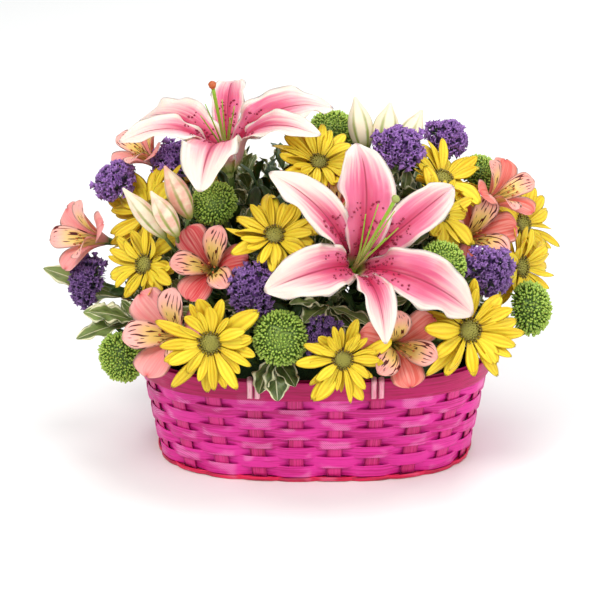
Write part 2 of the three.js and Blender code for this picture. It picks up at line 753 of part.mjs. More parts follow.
const statice = {
  statice_pair_upper_left: [
    { at: [-100, 25, 205], azimuth: -30, elevation: 60, size: 0.8, seed: 1 },
    { at: [-142, 15, 193], azimuth: -60, elevation: 50, size: 0.75, seed: 2 },
  ],
  statice_left: [{ at: [-162, -5, 125], azimuth: -70, elevation: 20, size: 0.95, spin: 90, seed: 3 }],
  statice_front_left: [{ at: [-43, -100, 153], azimuth: -10, elevation: 25, size: 0.9, spin: 90, long: 1.5, seed: 4 }],
  statice_front: [{ at: [6, -114, 119], azimuth: 0, elevation: 15, size: 0.65, spin: 90, long: 1.4, seed: 5 }],
  statice_top: [{ at: [58, -21, 229], azimuth: 20, elevation: 60, size: 0.95, seed: 6 }],
  statice_upper_right: [{ at: [94, 32, 220], azimuth: 50, elevation: 50, size: 0.85, seed: 7 }],
  statice_right: [{ at: [120, -62, 153], azimuth: 50, elevation: 30, size: 1, seed: 8 }],
  statice_back_left: [{ at: [-110, 70, 130], azimuth: -120, elevation: 20, size: 1, seed: 9 }],
  statice_back_right: [{ at: [110, 75, 140], azimuth: 125, elevation: 25, size: 1, seed: 10 }],
};

const alstroemerias = {
  alstroemeria_left: [{ at: [-150, 10, 150], azimuth: -70, elevation: 20, spin: 30, size: 0.9 }],
  alstroemeria_coral_left: [{ at: [-70, -62, 152], azimuth: -10, elevation: 35, spin: 10, size: 1 }],
  alstroemeria_front_left: [{ at: [-92, -73, 107], azimuth: -25, elevation: 30, spin: 20, size: 1.15 }],
  alstroemeria_front_right: [{ at: [54, -90, 109], azimuth: 10, elevation: 20, spin: 40, size: 1 }],
  alstroemeria_pair_right: [
    { at: [106, -11, 157], azimuth: 25, elevation: 35, spin: 0, size: 1 },
    { at: [122, 3, 179], azimuth: 50, elevation: 45, spin: 50, size: 0.9 },
  ],
  alstroemeria_upper_left: [{ at: [-116, 38, 199], azimuth: -50, elevation: 50, spin: 0, size: 0.8 }],
  alstroemeria_behind_lily: [{ at: [12, -50, 186], azimuth: 0, elevation: 60, spin: 30, size: 0.8 }],
  alstroemeria_back: [{ at: [-5, 95, 150], azimuth: 180, elevation: 20, spin: 0, size: 1 }],
};

const budClusters = {
  lily_buds_left: {
    neck: [-94, -58, 163],
    buds: [
      { from: [-103, -72, 181], to: [-130, -84, 220], girth: 11 },
      { from: [-94, -80, 185], to: [-111, -88, 219], girth: 12 },
      { from: [-86, -66, 193], to: [-102, -76, 233], girth: 13 },
    ],
  },
  lily_buds_right: {
    neck: [48, 0, 204],
    buds: [
      { from: [35, 2, 219], to: [28, 14, 256], girth: 14 },
      { from: [47, 0, 220], to: [53, 16, 251], girth: 15 },
      { from: [59, -2, 218], to: [75, 8, 248], girth: 14 },
    ],
  },
};

const foliage = {
  foliage_left: {
    neck: [-128, -36, 106],
    leaves: [
      { to: [-168, -50, 98], width: 17, roll: -15 },
      { to: [-164, -34, 112], width: 16, roll: -30 },
      { to: [-158, -54, 120], width: 15, roll: -30 },
    ],
  },
  foliage_front: {
    neck: [-29, -96, 102],
    leaves: [
      { to: [-39, -112, 82], width: 14 },
      { to: [-26, -118, 79], width: 15 },
      { to: [-14, -114, 88], width: 14 },
    ],
  },
  foliage_middle: {
    neck: [8, -86, 136],
    leaves: [
      { to: [14, -110, 118], width: 14 },
      { to: [30, -104, 123], width: 15 },
      { to: [-18, -100, 143], width: 15 },
    ],
  },
  foliage_left_edge: {
    neck: [-140, 13, 106],
    leaves: [
      { to: [-196, 13, 128], width: 15, roll: -50 },
      { to: [-176, 31, 98], width: 14, roll: -20 },
    ],
  },
  foliage_back: {
    neck: [0, 92, 104],
    leaves: [
      { to: [-26, 116, 96], width: 16 },
      { to: [4, 124, 96], width: 16 },
      { to: [28, 114, 98], width: 16 },
    ],
  },
};

// ---------------------------------------------------------------- assembly
const group = new THREE.Group();
group.add(...basketPieces());
group.add(meshOf("liner", linerSolid(), COLOURS.liner));
for (const [name, heads] of Object.entries(daisies)) group.add(meshOf(name, daisySpray(heads), COLOURS.daisy));
for (const [name, heads] of Object.entries(buttons)) group.add(meshOf(name, buttonSpray(heads), COLOURS.button));
for (const [name, heads] of Object.entries(statice)) group.add(meshOf(name, staticeSpray(heads), COLOURS.statice));
for (const [name, heads] of Object.entries(alstroemerias)) {
  group.add(meshOf(name, alstroemeriaSpray(heads), COLOURS.alstroemeria));
}
for (const [name, bloom] of Object.entries(lilies)) {
  group.add(meshOf(`lily_${name}_petals`, lilyBloom(bloom), COLOURS.lilyPetal));
  group.add(meshOf(`lily_${name}_stem`, lilyStem(bloom), COLOURS.lilyStem));
}
for (const [name, cluster] of Object.entries(budClusters)) group.add(meshOf(name, budCluster(cluster), COLOURS.bud));
for (const [name, spray] of Object.entries(foliage)) group.add(meshOf(name, foliageSpray(spray), COLOURS.leaf));
group.add(meshOf("foam_block", foamSolid(holes), COLOURS.foam));

export default group;
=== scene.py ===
"""The finished look of an oval woven basket that holds an arrangement of cut flowers.

Each piece stands for the plain solid of the same name, so it keeps that solid's place and size.
Tables and shapes are in millimetres, and meshes become metres when they are built. The basket
stands on z = 0 with its middle at the origin, and the front of the arrangement faces -Y.
"""

import json
import math
from collections import namedtuple
from itertools import product
from types import SimpleNamespace

import bpy
import numpy as np
from bpy.props import FloatProperty, FloatVectorProperty, IntProperty, PointerProperty
from mathutils import Matrix, Vector

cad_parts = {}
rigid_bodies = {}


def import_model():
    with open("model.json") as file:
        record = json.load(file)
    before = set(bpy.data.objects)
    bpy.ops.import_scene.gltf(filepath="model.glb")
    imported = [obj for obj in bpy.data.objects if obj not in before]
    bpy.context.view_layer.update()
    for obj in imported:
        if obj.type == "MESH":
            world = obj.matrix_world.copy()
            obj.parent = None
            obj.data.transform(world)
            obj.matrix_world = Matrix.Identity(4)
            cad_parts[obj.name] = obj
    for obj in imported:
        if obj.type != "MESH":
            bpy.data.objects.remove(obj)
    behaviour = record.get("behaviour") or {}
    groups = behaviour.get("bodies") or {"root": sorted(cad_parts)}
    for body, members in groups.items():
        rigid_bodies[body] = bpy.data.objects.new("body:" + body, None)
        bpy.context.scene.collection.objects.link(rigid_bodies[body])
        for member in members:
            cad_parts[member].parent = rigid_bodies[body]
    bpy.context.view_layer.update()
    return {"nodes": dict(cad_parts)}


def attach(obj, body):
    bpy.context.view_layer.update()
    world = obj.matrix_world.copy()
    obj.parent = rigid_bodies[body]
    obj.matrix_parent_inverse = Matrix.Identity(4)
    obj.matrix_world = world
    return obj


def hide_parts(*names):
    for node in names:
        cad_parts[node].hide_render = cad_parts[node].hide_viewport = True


bl_info = {
    "name": "Flower Basket Arrangement",
    "version": (1, 0, 0),
    "blender": (4, 5, 0),
    "location": "3D View > Sidebar > Flower basket",
    "description": "Builds a woven basket of lilies, daisies and other cut flowers",
    "category": "Add Mesh",
}

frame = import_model()
MM = 0.001
TURN = 2 * math.pi
GOLDEN_ANGLE = math.pi * (3 - math.sqrt(5))
BODY = "root"

# ---------------------------------------------------------------- sizes
BASKET = SimpleNamespace(
    height=80, rim=(126, 85), foot=(111, 75), squareness=2.8,
    rows=8, first_row=4.2, row_pitch=7.6, half_row=3.6,
    stakes=24, stake_width=11, stake_thickness=1.2, stake_ends=(1, 78.8), stake_spacing=28,
    strip_height=9.2, strip_thickness=1.1, weave=1.6, band_thickness=1.4, band_clearance=1.2,
    base_pitch=12.4, base_splint_half=5.4, base_height=1.35,
    tie_spread=43, tie_pitch=5.2, tie_width=3.8, tie_thickness=0.9, tie_clearance=0.7,
)
BAND_LOW = BASKET.first_row + BASKET.rows * BASKET.row_pitch
FAN = SimpleNamespace(spread=(0.5, 0.42), limit=(80, 46), depth=72, rise=0.06)
CROWN = SimpleNamespace(middle=(-4, 2, 82), reach=(134, 92, 136))
BUD_FULLNESS, LEAF_FULLNESS = 1.24, 0.58

# The middle of a head, the compass direction that it faces (0 is the front, 90 is +X), how far it
# looks up, its size, the seed of its small differences, its turn round its own axis, and how much
# longer than wide it is.
Head = namedtuple("Head", "at az el size seed spin long", defaults=(1, 0, 0, 1.25))

# Head, tip of the pistil, paleness, and each petal's kind, turn, degrees opened and size.
LILIES = {
    "front": (
        Head((24, -72, 156), 20, 35), (10, 24, 82), 0.0,
        [("petal", 80, 5, 0.95), ("sepal", 30, 0, 1), ("petal", 325, 0, 0.95),
         ("sepal", 265, -25, 0.85), ("petal", 190, 0, 0.85), ("sepal", 130, -5, 1)],
    ),
    "top": (
        Head((-60, -20, 212), -15, 65), (0, -4, 80), 0.2,
        [("sepal", 100, 5, 0.85), ("petal", 30, 0, 0.9), ("sepal", 350, -20, 0.95),
         ("petal", 275, -15, 0.95), ("sepal", 215, -25, 0.95), ("petal", 160, 10, 0.85)],
    ),
}
DAISIES = {
    "daisy_upper_left_of_lily": [Head((-28, -84, 186), -5, 50, 0.95, 1)],
    "daisy_front_left": [Head((-71, -119, 122), -10, 12, 1.05, 2)],
    "daisy_front_middle": [Head((18, -124, 112), 5, 10, 0.9, 3)],
    "daisy_front_right": [Head((104, -96, 122), 20, 20, 1.1, 24)],
    "daisy_pair_left": [
        Head((-118, -55, 155), -40, 25, 0.95, 5), Head((-117, -4, 176), -56, 38, 1.12, 6),
    ],
    "daisy_top": [Head((2, -41, 224), 10, 60, 0.9, 7)],
    "daisy_pair_upper_right": [Head((89, -11, 203), 40, 60, 1, 8), Head((86, -45, 189), 50, 30, 0.9, 9)],
    "daisy_pair_right": [Head((149, 21, 158), 52, 28, 1, 10), Head((145, -18, 140), 52, 12, 1.02, 11)],
    "daisy_pair_back_left": [
        Head((-90, 80, 170), -140, 35, 1, 12), Head((-60, 105, 120), -160, 15, 1, 13),
    ],
    "daisy_pair_back_right": [Head((80, 80, 175), 145, 35, 1, 14), Head((40, 110, 130), 170, 15, 1, 15)],
}
BUTTONS = {
    "button_upper_left": [Head((-70, -53, 199), -30, 50, 0.9, 0)],
    "button_top": [Head((12, 29, 226), 0, 60, 0.95, 1)],
    "button_front": [Head((-24, -115, 124), 0, 10, 1.05, 2)],
    "button_lower_left": [Head((-136, -60, 88), -50, -10, 1, 3)],
    "button_right_of_lily": [Head((86, -83, 165), 30, 40, 0.95, 4)],
    "button_right": [Head((150, -48, 120), 70, 10, 1.05, 5)],
    "button_upper_right": [Head((119, 22, 196), 60, 45, 0.85, 6)],
    "button_back": [Head((0, 90, 190), 180, 40, 1, 7)],
}
STATICE = {
    "statice_pair_upper_left": [
        Head((-100, 25, 205), -30, 60, 0.92, 1), Head((-142, 15, 193), -60, 50, 0.88, 2),
    ],
    "statice_left": [Head((-162, -5, 125), -70, 20, 0.95, 3, 90)],
    "statice_front_left": [Head((-43, -100, 153), -10, 25, 0.9, 4, 90, 1.5)],
    "statice_front": [Head((5, -112, 123), 0, 20, 0.74, 5, 90, 1.5)],
    "statice_top": [Head((58, -21, 229), 20, 60, 0.95, 6)],
    "statice_upper_right": [Head((94, 32, 220), 50, 50, 0.85, 7)],
    "statice_right": [Head((120, -62, 153), 50, 30, 1, 8)],
    "statice_back_left": [Head((-110, 70, 130), -120, 20, 1, 9)],
    "statice_back_right": [Head((110, 75, 140), 125, 25, 1, 10)],
}
ALSTROEMERIAS = {
    "alstroemeria_left": [Head((-150, 10, 150), -54, 22, 0.95, spin=30)],
    "alstroemeria_coral_left": [Head((-70, -62, 152), -10, 35, spin=10)],
    "alstroemeria_front_left": [Head((-92, -73, 107), -25, 30, 1.15, spin=20)],
    "alstroemeria_front_right": [Head((54, -90, 109), 10, 20, spin=40)],
    "alstroemeria_pair_right": [
        Head((106, -11, 157), 25, 35), Head((122, 3, 179), 50, 45, 0.9, spin=50),
    ],
    "alstroemeria_upper_left": [Head((-116, 38, 199), -50, 50, 0.8)],
    "alstroemeria_behind_lily": [Head((12, -50, 186), 0, 60, 0.8, spin=30)],
    "alstroemeria_back": [Head((-5, 95, 150), 180, 20)],
}
ALSTROEMERIA_HUES = {
    "alstroemeria_coral_left": "coral",
    "alstroemeria_behind_lily": "coral",
    "alstroemeria_pair_right": "peach",
    "alstroemeria_front_right": "peach",
}

# Neck, how much pink, and each bud's root, tip and girth.
BUD_CLUSTERS = {
    "lily_buds_left": (
        (-94, -58, 163), 0.0,
        [((-103, -72, 181), (-130, -84, 220), 11), ((-94, -80, 185), (-111, -88, 219), 12),
         ((-86, -66, 193), (-102, -76, 233), 13)],
    ),
    "lily_buds_right": (
        (48, 0, 204), -0.8,
        [((35, 2, 219), (28, 14, 256), 14), ((47, 0, 220), (53, 16, 251), 15),
         ((59, -2, 218), (75, 8, 248), 14)],
    ),
}

# Neck, painted light and shade of the whole spray (lighter above 0, darker below 0), and each leaf's
# tip, width and roll.
FOLIAGE = {
    "foliage_left": (
        (-128, -36, 106), 0.4,
        [((-168, -50, 98), 17, -15), ((-164, -34, 112), 16, -30), ((-158, -54, 120), 15, -30)],
    ),
    "foliage_front": (
        (-29, -96, 102), -0.9,
        [((-39, -112, 82), 14, 0), ((-26, -118, 79), 15, 0), ((-14, -114, 88), 14, 0)],
    ),
    "foliage_middle": (
        (8, -86, 136), -0.3,
        [((14, -110, 118), 14, 0), ((30, -104, 123), 15, 0), ((-18, -100, 143), 15, 0),
         ((-8, -113, 134), 15, 0), ((40, -108, 128), 13, 0)],
    ),
    "foliage_left_edge": ((-140, 13, 106), 0.0, [((-196, 13, 128), 15, -50), ((-176, 31, 98), 14, -20)]),
    "foliage_back": (
        (0, 92, 104), 0.0, [((-26, 116, 96), 16, 0), ((4, 124, 96), 16, 0), ((28, 114, 98), 16, 0)],
    ),
}


# ---------------------------------------------------------------- node trees
def worked_out(operation, swapped=False):
    """A method of Term that adds a Math node."""

    def method(*terms):
        return terms[0].tree.math(operation, *(terms[::-1] if swapped else terms))

    return method


class Term:
    """A socket that can be used in sums like a number."""

    def __init__(self, tree, socket):
        self.tree, self.socket = tree, socket

    def out(self, name):
        """Another output of the same node."""
        return Term(self.tree, self.tree.socket(self.socket.node.outputs, name))

    def __neg__(self):
        return self * -1.0

    __add__ = __radd__ = worked_out("ADD")
    __mul__ = __rmul__ = worked_out("MULTIPLY")
    __sub__, __rsub__ = worked_out("SUBTRACT"), worked_out("SUBTRACT", True)
    __truediv__, __rtruediv__ = worked_out("DIVIDE"), worked_out("DIVIDE", True)
    __pow__, __abs__ = worked_out("POWER"), worked_out("ABSOLUTE")


class Tree:
    """Adds nodes to the tree of a material or of a geometry nodes modifier."""

    def __init__(self, nodes):
        self.nodes, self.links = nodes.nodes, nodes.links

    @staticmethod
    def socket(sockets, key):
        """A socket by its number, its identifier or its name, with _ for a space."""
        if isinstance(key, int):
            return sockets[key]
        names = (key, key.replace("_", " "))
        known = [s for s in sockets if s.identifier in names]
        return (known or [s for s in sockets if s.name in names and s.enabled])[0]

    def feed(self, socket, value):
        if isinstance(value, Term):
            self.links.new(value.socket, socket)
        else:
            socket.default_value = value

    def node(self, kind, *inputs, out=0, **named):
        """Adds a node; small letters name its settings, made first, and capitals its inputs."""
        node = self.nodes.new(kind)
        settings = [key for key in named if key[0].islower()]
        for key in settings:
            setattr(node, key, named.pop(key))
        for key, value in [*enumerate(inputs), *named.items()]:
            self.feed(self.socket(node.inputs, key), value)
        return Term(self, self.socket(node.outputs, out))

    def math(self, operation, *terms):
        return self.node("ShaderNodeMath", *terms, operation=operation)

    def clamp(self, value):
        return self.node("ShaderNodeClamp", Value=value)

    def step(self, value, low, high, start=0.0, end=1.0):
        """Runs smoothly from start to end while the value goes from low to high."""
        ends = dict(From_Min=low, From_Max=high, To_Min=start, To_Max=end)
        return self.node("ShaderNodeMapRange", interpolation_type="SMOOTHSTEP", Value=value, **ends)

    def vector(self, x=0.0, y=0.0, z=0.0):
        return self.node("ShaderNodeCombineXYZ", x, y, z)

    def parts(self, vector):
        x = self.node("ShaderNodeSeparateXYZ", vector)
        return x, x.out("Y"), x.out("Z")


class Finish(Tree):
    """The node tree of one procedural material, whose colour is laid on in coats."""

    def __init__(self, name, **constants):
        self.material = bpy.data.materials.new(name)
        self.material.use_nodes = True
        super().__init__(self.material.node_tree)
        self.shader = self.nodes["Principled BSDF"]
        for key, value in constants.items():
            self.shader.inputs[key.replace("_", " ")].default_value = value

    def attribute(self, name, out="Fac"):
        return self.node("ShaderNodeAttribute", attribute_name=name, out=out)

    def marks(self):
        """How far along its own petal a point is, 0 to 1, how far across, -1 to 1, and 1 underneath."""
        return self.parts(self.attribute("marks", "Vector"))

    def own(self, wide, far, apart):
        """A place on the petal itself, stretched, and another one for every tone."""
        along, across, _ = self.marks()
        return self.vector(across * wide, along * far, self.attribute("tone") * apart)

    def place(self, *scale):
        spot = self.node("ShaderNodeTexCoord", out="Object")
        return self.node("ShaderNodeMapping", Vector=spot, Scale=scale or (1.0, 1.0, 1.0))

    def noise(self, vector, scale, detail=2.0, rough=0.5):
        values = dict(Vector=vector, Scale=scale, Detail=detail, Roughness=rough)
        return self.node("ShaderNodeTexNoise", out="Fac", **values)

    def mottle(self, scale, detail=2.0, rough=0.5):
        """Noise that stays fixed to the piece."""
        return self.noise(self.place(), scale, detail, rough)

    def mix(self, **values):
        return self.node("ShaderNodeMix", out="Result_Color", data_type="RGBA", **values)

    def base(self, factor, first, second):
        """The first coat: from one colour to another."""
        first, second = (c if isinstance(c, Term) else (*c, 1.0) for c in (first, second))
        self.colour = self.mix(Factor_Float=factor, A_Color=first, B_Color=second)

    def coat(self, factor, colour):
        """Lays a colour over what is there, as thick as the factor says."""
        self.base(factor, self.colour, colour)

    def shade(self, amount):
        """Makes what is there lighter or darker by an amount that varies round 1."""
        grey = self.node("ShaderNodeCombineColor", amount, amount, amount)
        values = dict(Factor_Float=1.0, A_Color=self.colour, B_Color=grey)
        self.colour = self.mix(blend_type="MULTIPLY", **values)

    def done(self, rough=None, height=None, depth=0.2, strength=0.5):
        """Ends the finish with its roughness and with bumps whose depth is in millimetres."""
        self.feed(self.shader.inputs["Base Color"], self.colour)
        if rough is not None:
            self.feed(self.shader.inputs["Roughness"], rough)
        if height is not None:
            bump = self.node("ShaderNodeBump", Strength=strength, Distance=depth * MM, Height=height)
            self.feed(self.shader.inputs["Normal"], bump)
        return self.material


class Grower(Tree):
    """A geometry nodes tree with named inputs that ends in Realize Instances and Set Material."""

    def __init__(self, name):
        self.group = bpy.data.node_groups.new(name, "GeometryNodeTree")
        super().__init__(self.group)
        self.group.interface.new_socket("Geometry", in_out="OUTPUT", socket_type="NodeSocketGeometry")
        self.source = self.nodes.new("NodeGroupInput")
        self.index = self.node("GeometryNodeInputIndex")

    def value(self, name, kind="Float"):
        self.group.interface.new_socket(name, in_out="INPUT", socket_type="NodeSocket" + kind)
        return Term(self, self.socket(self.source.outputs, name))

    def values(self, names, kind="Float"):
        return [self.value(name, kind) for name in names.split(", ")]

    def random(self, low, high, seed, salt):
        """A random number for each element, different for every salt."""
        values = dict(Min_001=low, Max_001=high, Seed=seed + salt)
        return self.node("FunctionNodeRandomValue", data_type="FLOAT", out="Value_001", **values)

    def about(self, spread, seed, salt):
        """A random number round 0."""
        return self.random(spread * -1.0, spread, seed, salt)

    def turned(self, way, euler):
        """Stands a shape along a way and then turns it by angles of its own."""
        upright = self.node("FunctionNodeAlignRotationToVector", axis="Z", Vector=way)
        own = self.node("FunctionNodeEulerToRotation", Euler=euler)
        values = dict(Rotation=upright, Rotate_By=own)
        return self.node("FunctionNodeRotateRotation", rotation_space="LOCAL", **values)

    def picked(self, shapes, seed, **values):
        """One of a collection's shapes on each point, with a random tone."""
        chance = dict(Min_002=0, Max_002=99, Seed=seed)
        which = self.node("FunctionNodeRandomValue", data_type="INT", out="Value_002", **chance)
        apart = dict(Separate_Children=True, Reset_Children=True)
        shape = self.node("GeometryNodeCollectionInfo", Collection=shapes, **apart)
        values.update(Instance=shape, Pick_Instance=True, Instance_Index=which)
        placed = self.node("GeometryNodeInstanceOnPoints", **values)
        return self.store(placed, "tone", self.random(0.0, 1.0, seed, 5), "INSTANCE")

    def store(self, geometry, name, value, domain):
        values = dict(Geometry=geometry, Name=name, Value=value)
        return self.node("GeometryNodeStoreNamedAttribute", data_type="FLOAT", domain=domain, **values)

    def done(self, geometry):
        real = self.node("GeometryNodeRealizeInstances", Geometry=geometry)
        material = self.value("Material", "Material")
        dressed = self.node("GeometryNodeSetMaterial", Geometry=real, Material=material)
        self.links.new(dressed.socket, self.nodes.new("NodeGroupOutput").inputs[0])
        return self.group


def linked(name, mesh):
    piece = bpy.data.objects.new(name, mesh)
    bpy.context.scene.collection.objects.link(piece)
    return piece


def grow(name, group, host=None, **values):
    """The plain mesh that a geometry nodes tree makes, as an object; host is a mesh to grow on."""
    piece = linked(name, host or bpy.data.meshes.new(name))
    modifier = piece.modifiers.new(name, "NODES")
    modifier.node_group = group
    for item in group.interface.items_tree:
        key = item.name.lower().replace(" ", "_")
        if item.in_out == "INPUT" and key in values:
            modifier[item.identifier] = values[key]
    graph = bpy.context.evaluated_depsgraph_get()
    made = piece.evaluated_get(graph)
    mesh = bpy.data.meshes.new_from_object(made, preserve_all_data_layers=True, depsgraph=graph)
    piece.modifiers.remove(modifier)
    piece.data = mesh
    return piece


# ---------------------------------------------------------------- meshes
def smooth(values, share):
    """A smooth curve through evenly spaced values, at some shares from 0 to 1 of its length."""
    values = np.asarray(values, float)
    padded = np.concatenate([2 * values[:1] - values[1:2], values, 2 * values[-1:] - values[-2:-1]])
    place = np.clip(share, 0, 1) * (len(values) - 1)
    low = np.minimum(place.astype(int), len(values) - 2)
    part = (place - low)[..., None] if values.ndim > 1 else place - low
    a, b, c, d = (padded[low + k] for k in range(4))
    bend = 2 * a - 5 * b + 4 * c - d
    return 0.5 * (2 * b + (c - a) * part + bend * part**2 + (3 * b - a - 3 * c + d) * part**3)


def unit(vectors):
    return vectors / np.maximum(np.linalg.norm(vectors, axis=-1, keepdims=True), 1e-9)


def hump(along, power=1.0):
    """Rises from 0 to 1 and falls to 0 again."""
    return np.sin(math.pi * along) ** power


def ridge(across, width):
    """1 along the middle line and nearly 0 beside it."""
    return np.exp(-((across / width) ** 2))


def rounded_end(along, start, least=0.12):
    """Falls from 1 to nearly 0 like the end of an oval, from a share of the length on."""
    place = np.clip((along - start) / (1 - start), 0, 1)
    return np.maximum(np.sqrt(1 - place**2), least)


def run_of(path):
    """How far along a path each of its points lies."""
    return np.concatenate([[0], np.cumsum(np.linalg.norm(np.diff(path, axis=0), axis=1))])


def hoops(radii, heights, sides):
    """Rings of points round +Z."""
    turn = np.arange(sides) * TURN / sides
    return np.stack([np.cos(turn) * radii, np.sin(turn) * radii, heights + 0 * turn], -1)


class Maker:
    """Gathers closed sheets and tubes, in millimetres, that become one mesh in metres."""

    def __init__(self):
        self.points, self.faces, self.marks, self.tones = [], [], [], []
        self.count = 0

    def add(self, points, faces, marks, tone=0.5, matrix=None):
        points = np.asarray(points, float).reshape(-1, 3)
        if matrix is not None:
            matrix = np.array(matrix)
            points = points @ matrix[:3, :3].T + matrix[:3, 3]
        self.points.append(points)
        self.faces += [[corner + self.count for corner in face] for face in faces]
        self.marks.append(np.asarray(marks, float).reshape(-1, 3))
        self.tones.append(np.full(len(points), float(tone)))
        self.count += len(points)

    def sheet(self, surface, rows, columns, thickness, tone=0.5, matrix=None, bunch=1.0):
        """A thin closed petal, leaf or splint. surface(along, across) gives its upper face."""
        along = np.linspace(0, 1, rows)[:, None] ** bunch + np.zeros(columns)
        across = np.zeros((rows, 1)) + np.linspace(-1, 1, columns)
        top = surface(along, across)
        normal = unit(np.cross(np.gradient(top, axis=0), np.gradient(top, axis=1)))
        inwards = [np.minimum(np.arange(n), np.arange(n)[::-1]) for n in (rows, columns)]
        thin = thickness * np.minimum(1, np.minimum(inwards[0][:, None], inwards[1]) / 2)
        under = (top - thin[..., None] * normal)[1:-1, 1:-1]
        upper = np.arange(rows * columns).reshape(rows, columns)
        lower = upper.copy()
        lower[1:-1, 1:-1] = rows * columns + np.arange(under[..., 0].size).reshape(under.shape[:2])
        faces = []
        for ids, order in ((upper, (0, 1, 2, 3)), (lower, (0, 3, 2, 1))):
            corners = (ids[:-1, :-1], ids[1:, :-1], ids[1:, 1:], ids[:-1, 1:])
            faces += np.stack([corners[k] for k in order], -1).reshape(-1, 4).tolist()
        marks = np.stack([along, across, 0 * along], -1)
        marks = np.concatenate([marks.reshape(-1, 3), marks[1:-1, 1:-1].reshape(-1, 3) + (0, 0, 1)])
        self.add(np.concatenate([top.reshape(-1, 3), under.reshape(-1, 3)]), faces, marks, tone, matrix)

    def tube(self, path, radii, sides=8, steps=1, tone=0.5, matrix=None):
        """A round tube along a smooth curve through a path, closed at both ends."""
        path, share = np.asarray(path, float), np.linspace(0, 1, (len(path) - 1) * steps + 1)
        radii = np.full(len(path), float(radii)) if np.isscalar(radii) else np.asarray(radii, float)
        middle = smooth(path, share) if steps > 1 else path
        radii = np.interp(share, np.linspace(0, 1, len(path)), radii)
        forward = unit(np.gradient(middle, axis=0))
        side = np.cross((0.0, 0.0, 1.0) if abs(forward[0, 2]) < 0.9 else (1.0, 0.0, 0.0), forward[0])
        turn = np.arange(sides)[:, None] * TURN / sides
        rings = []
        for point, ahead, radius in zip(middle, forward, radii):
            side = unit(side - ahead * np.dot(side, ahead))
            rings.append(point + radius * (np.cos(turn) * side + np.sin(turn) * np.cross(ahead, side)))
        self.skin(np.array(rings), share, tone, matrix)

    def skin(self, rings, along, tone=0.5, matrix=None):
        """A surface over rings of points, closed at both ends."""
        count, sides = rings.shape[:2]
        ids = np.arange(count * sides).reshape(count, sides)
        beside = np.roll(ids, -1, axis=1)
        faces = np.stack([ids[:-1], beside[:-1], beside[1:], ids[1:]], -1).reshape(-1, 4).tolist()
        faces += [ids[0, ::-1].tolist(), ids[-1].tolist()]
        around = np.abs(np.linspace(-1, 1, sides, endpoint=False))
        marks = np.stack([*np.meshgrid(along, around, indexing="ij"), np.zeros((count, sides))], -1)
        self.add(rings, faces, marks, tone, matrix)

    def dome(self, radius, height, lowest, tone=0.5, matrix=None, sides=16, rings=9, bright=1.0):
        """A closed round body under the florets of a head. Its marks run from 0 at the bottom to bright
        at the top, and the finishes darken its lower part as painted shade under the florets.
        """
        polar = np.linspace(0.06, lowest, rings)[::-1, None]
        points = hoops(np.sin(polar) * radius, np.cos(polar) * height, sides)
        self.skin(points, np.linspace(0, bright, rings), tone, matrix)

    def flare(self, rings, sides, lobes=0.0):
        """A small floret round +Z; rings lists [height, radius], and lobes waves the widest ones."""
        heights, radii = np.asarray(rings, float)[:, :1], np.asarray(rings, float)[:, 1:]
        turn = np.arange(sides) * TURN / sides
        wave = 1 + lobes * np.cos(turn * sides / 2) * (radii / radii.max()) ** 2
        self.skin(hoops(radii * wave, heights, sides), heights[:, 0] / heights.max())

    def build(self, name, material):
        mesh = bpy.data.meshes.new(name)
        mesh.from_pydata((np.concatenate(self.points) * MM).tolist(), [], self.faces)
        marks, tones = np.concatenate(self.marks).ravel(), np.concatenate(self.tones)
        mesh.attributes.new("marks", "FLOAT_VECTOR", "POINT").data.foreach_set("vector", marks)
        mesh.attributes.new("tone", "FLOAT", "POINT").data.foreach_set("value", tones)
        mesh.shade_smooth()
        mesh.materials.append(material)
        return linked(name, mesh)


def about_z(degrees):
    return Matrix.Rotation(math.radians(degrees), 4, "Z")


def facing(head):
    a, e = math.radians(head.az), math.radians(head.el)
    return Vector((math.sin(a) * math.cos(e), -math.cos(a) * math.cos(e), math.sin(e)))


def placing(head):
    """Carries a bloom built round +Z to its place."""
    front = facing(head)
    side = Vector((0, 0, 1)).cross(front).normalized()
    basis = Matrix((side, front.cross(side), front)).transposed().to_4x4()
    return Matrix.Translation(head.at) @ basis @ about_z(head.spin) @ Matrix.Scale(head.size, 4)


def carried(piece, matrix):
    """Moves a piece's mesh by a matrix in millimetres."""
    metres = matrix.copy()
    metres.translation = matrix.translation * MM
    piece.data.transform(metres)
    return piece


def joined(name, parts, slot, *nodes):
    """Joins parts into one finished piece that stands for some solids."""
    first = parts[0]
    if len(parts) > 1:
        chosen = dict(active_object=first, object=first, selected_editable_objects=parts)
        with bpy.context.temp_override(**chosen):
            bpy.ops.object.join()
    first.name = first.data.name = name
    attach(first, BODY)
    if nodes:
        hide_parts(*nodes)
    return first


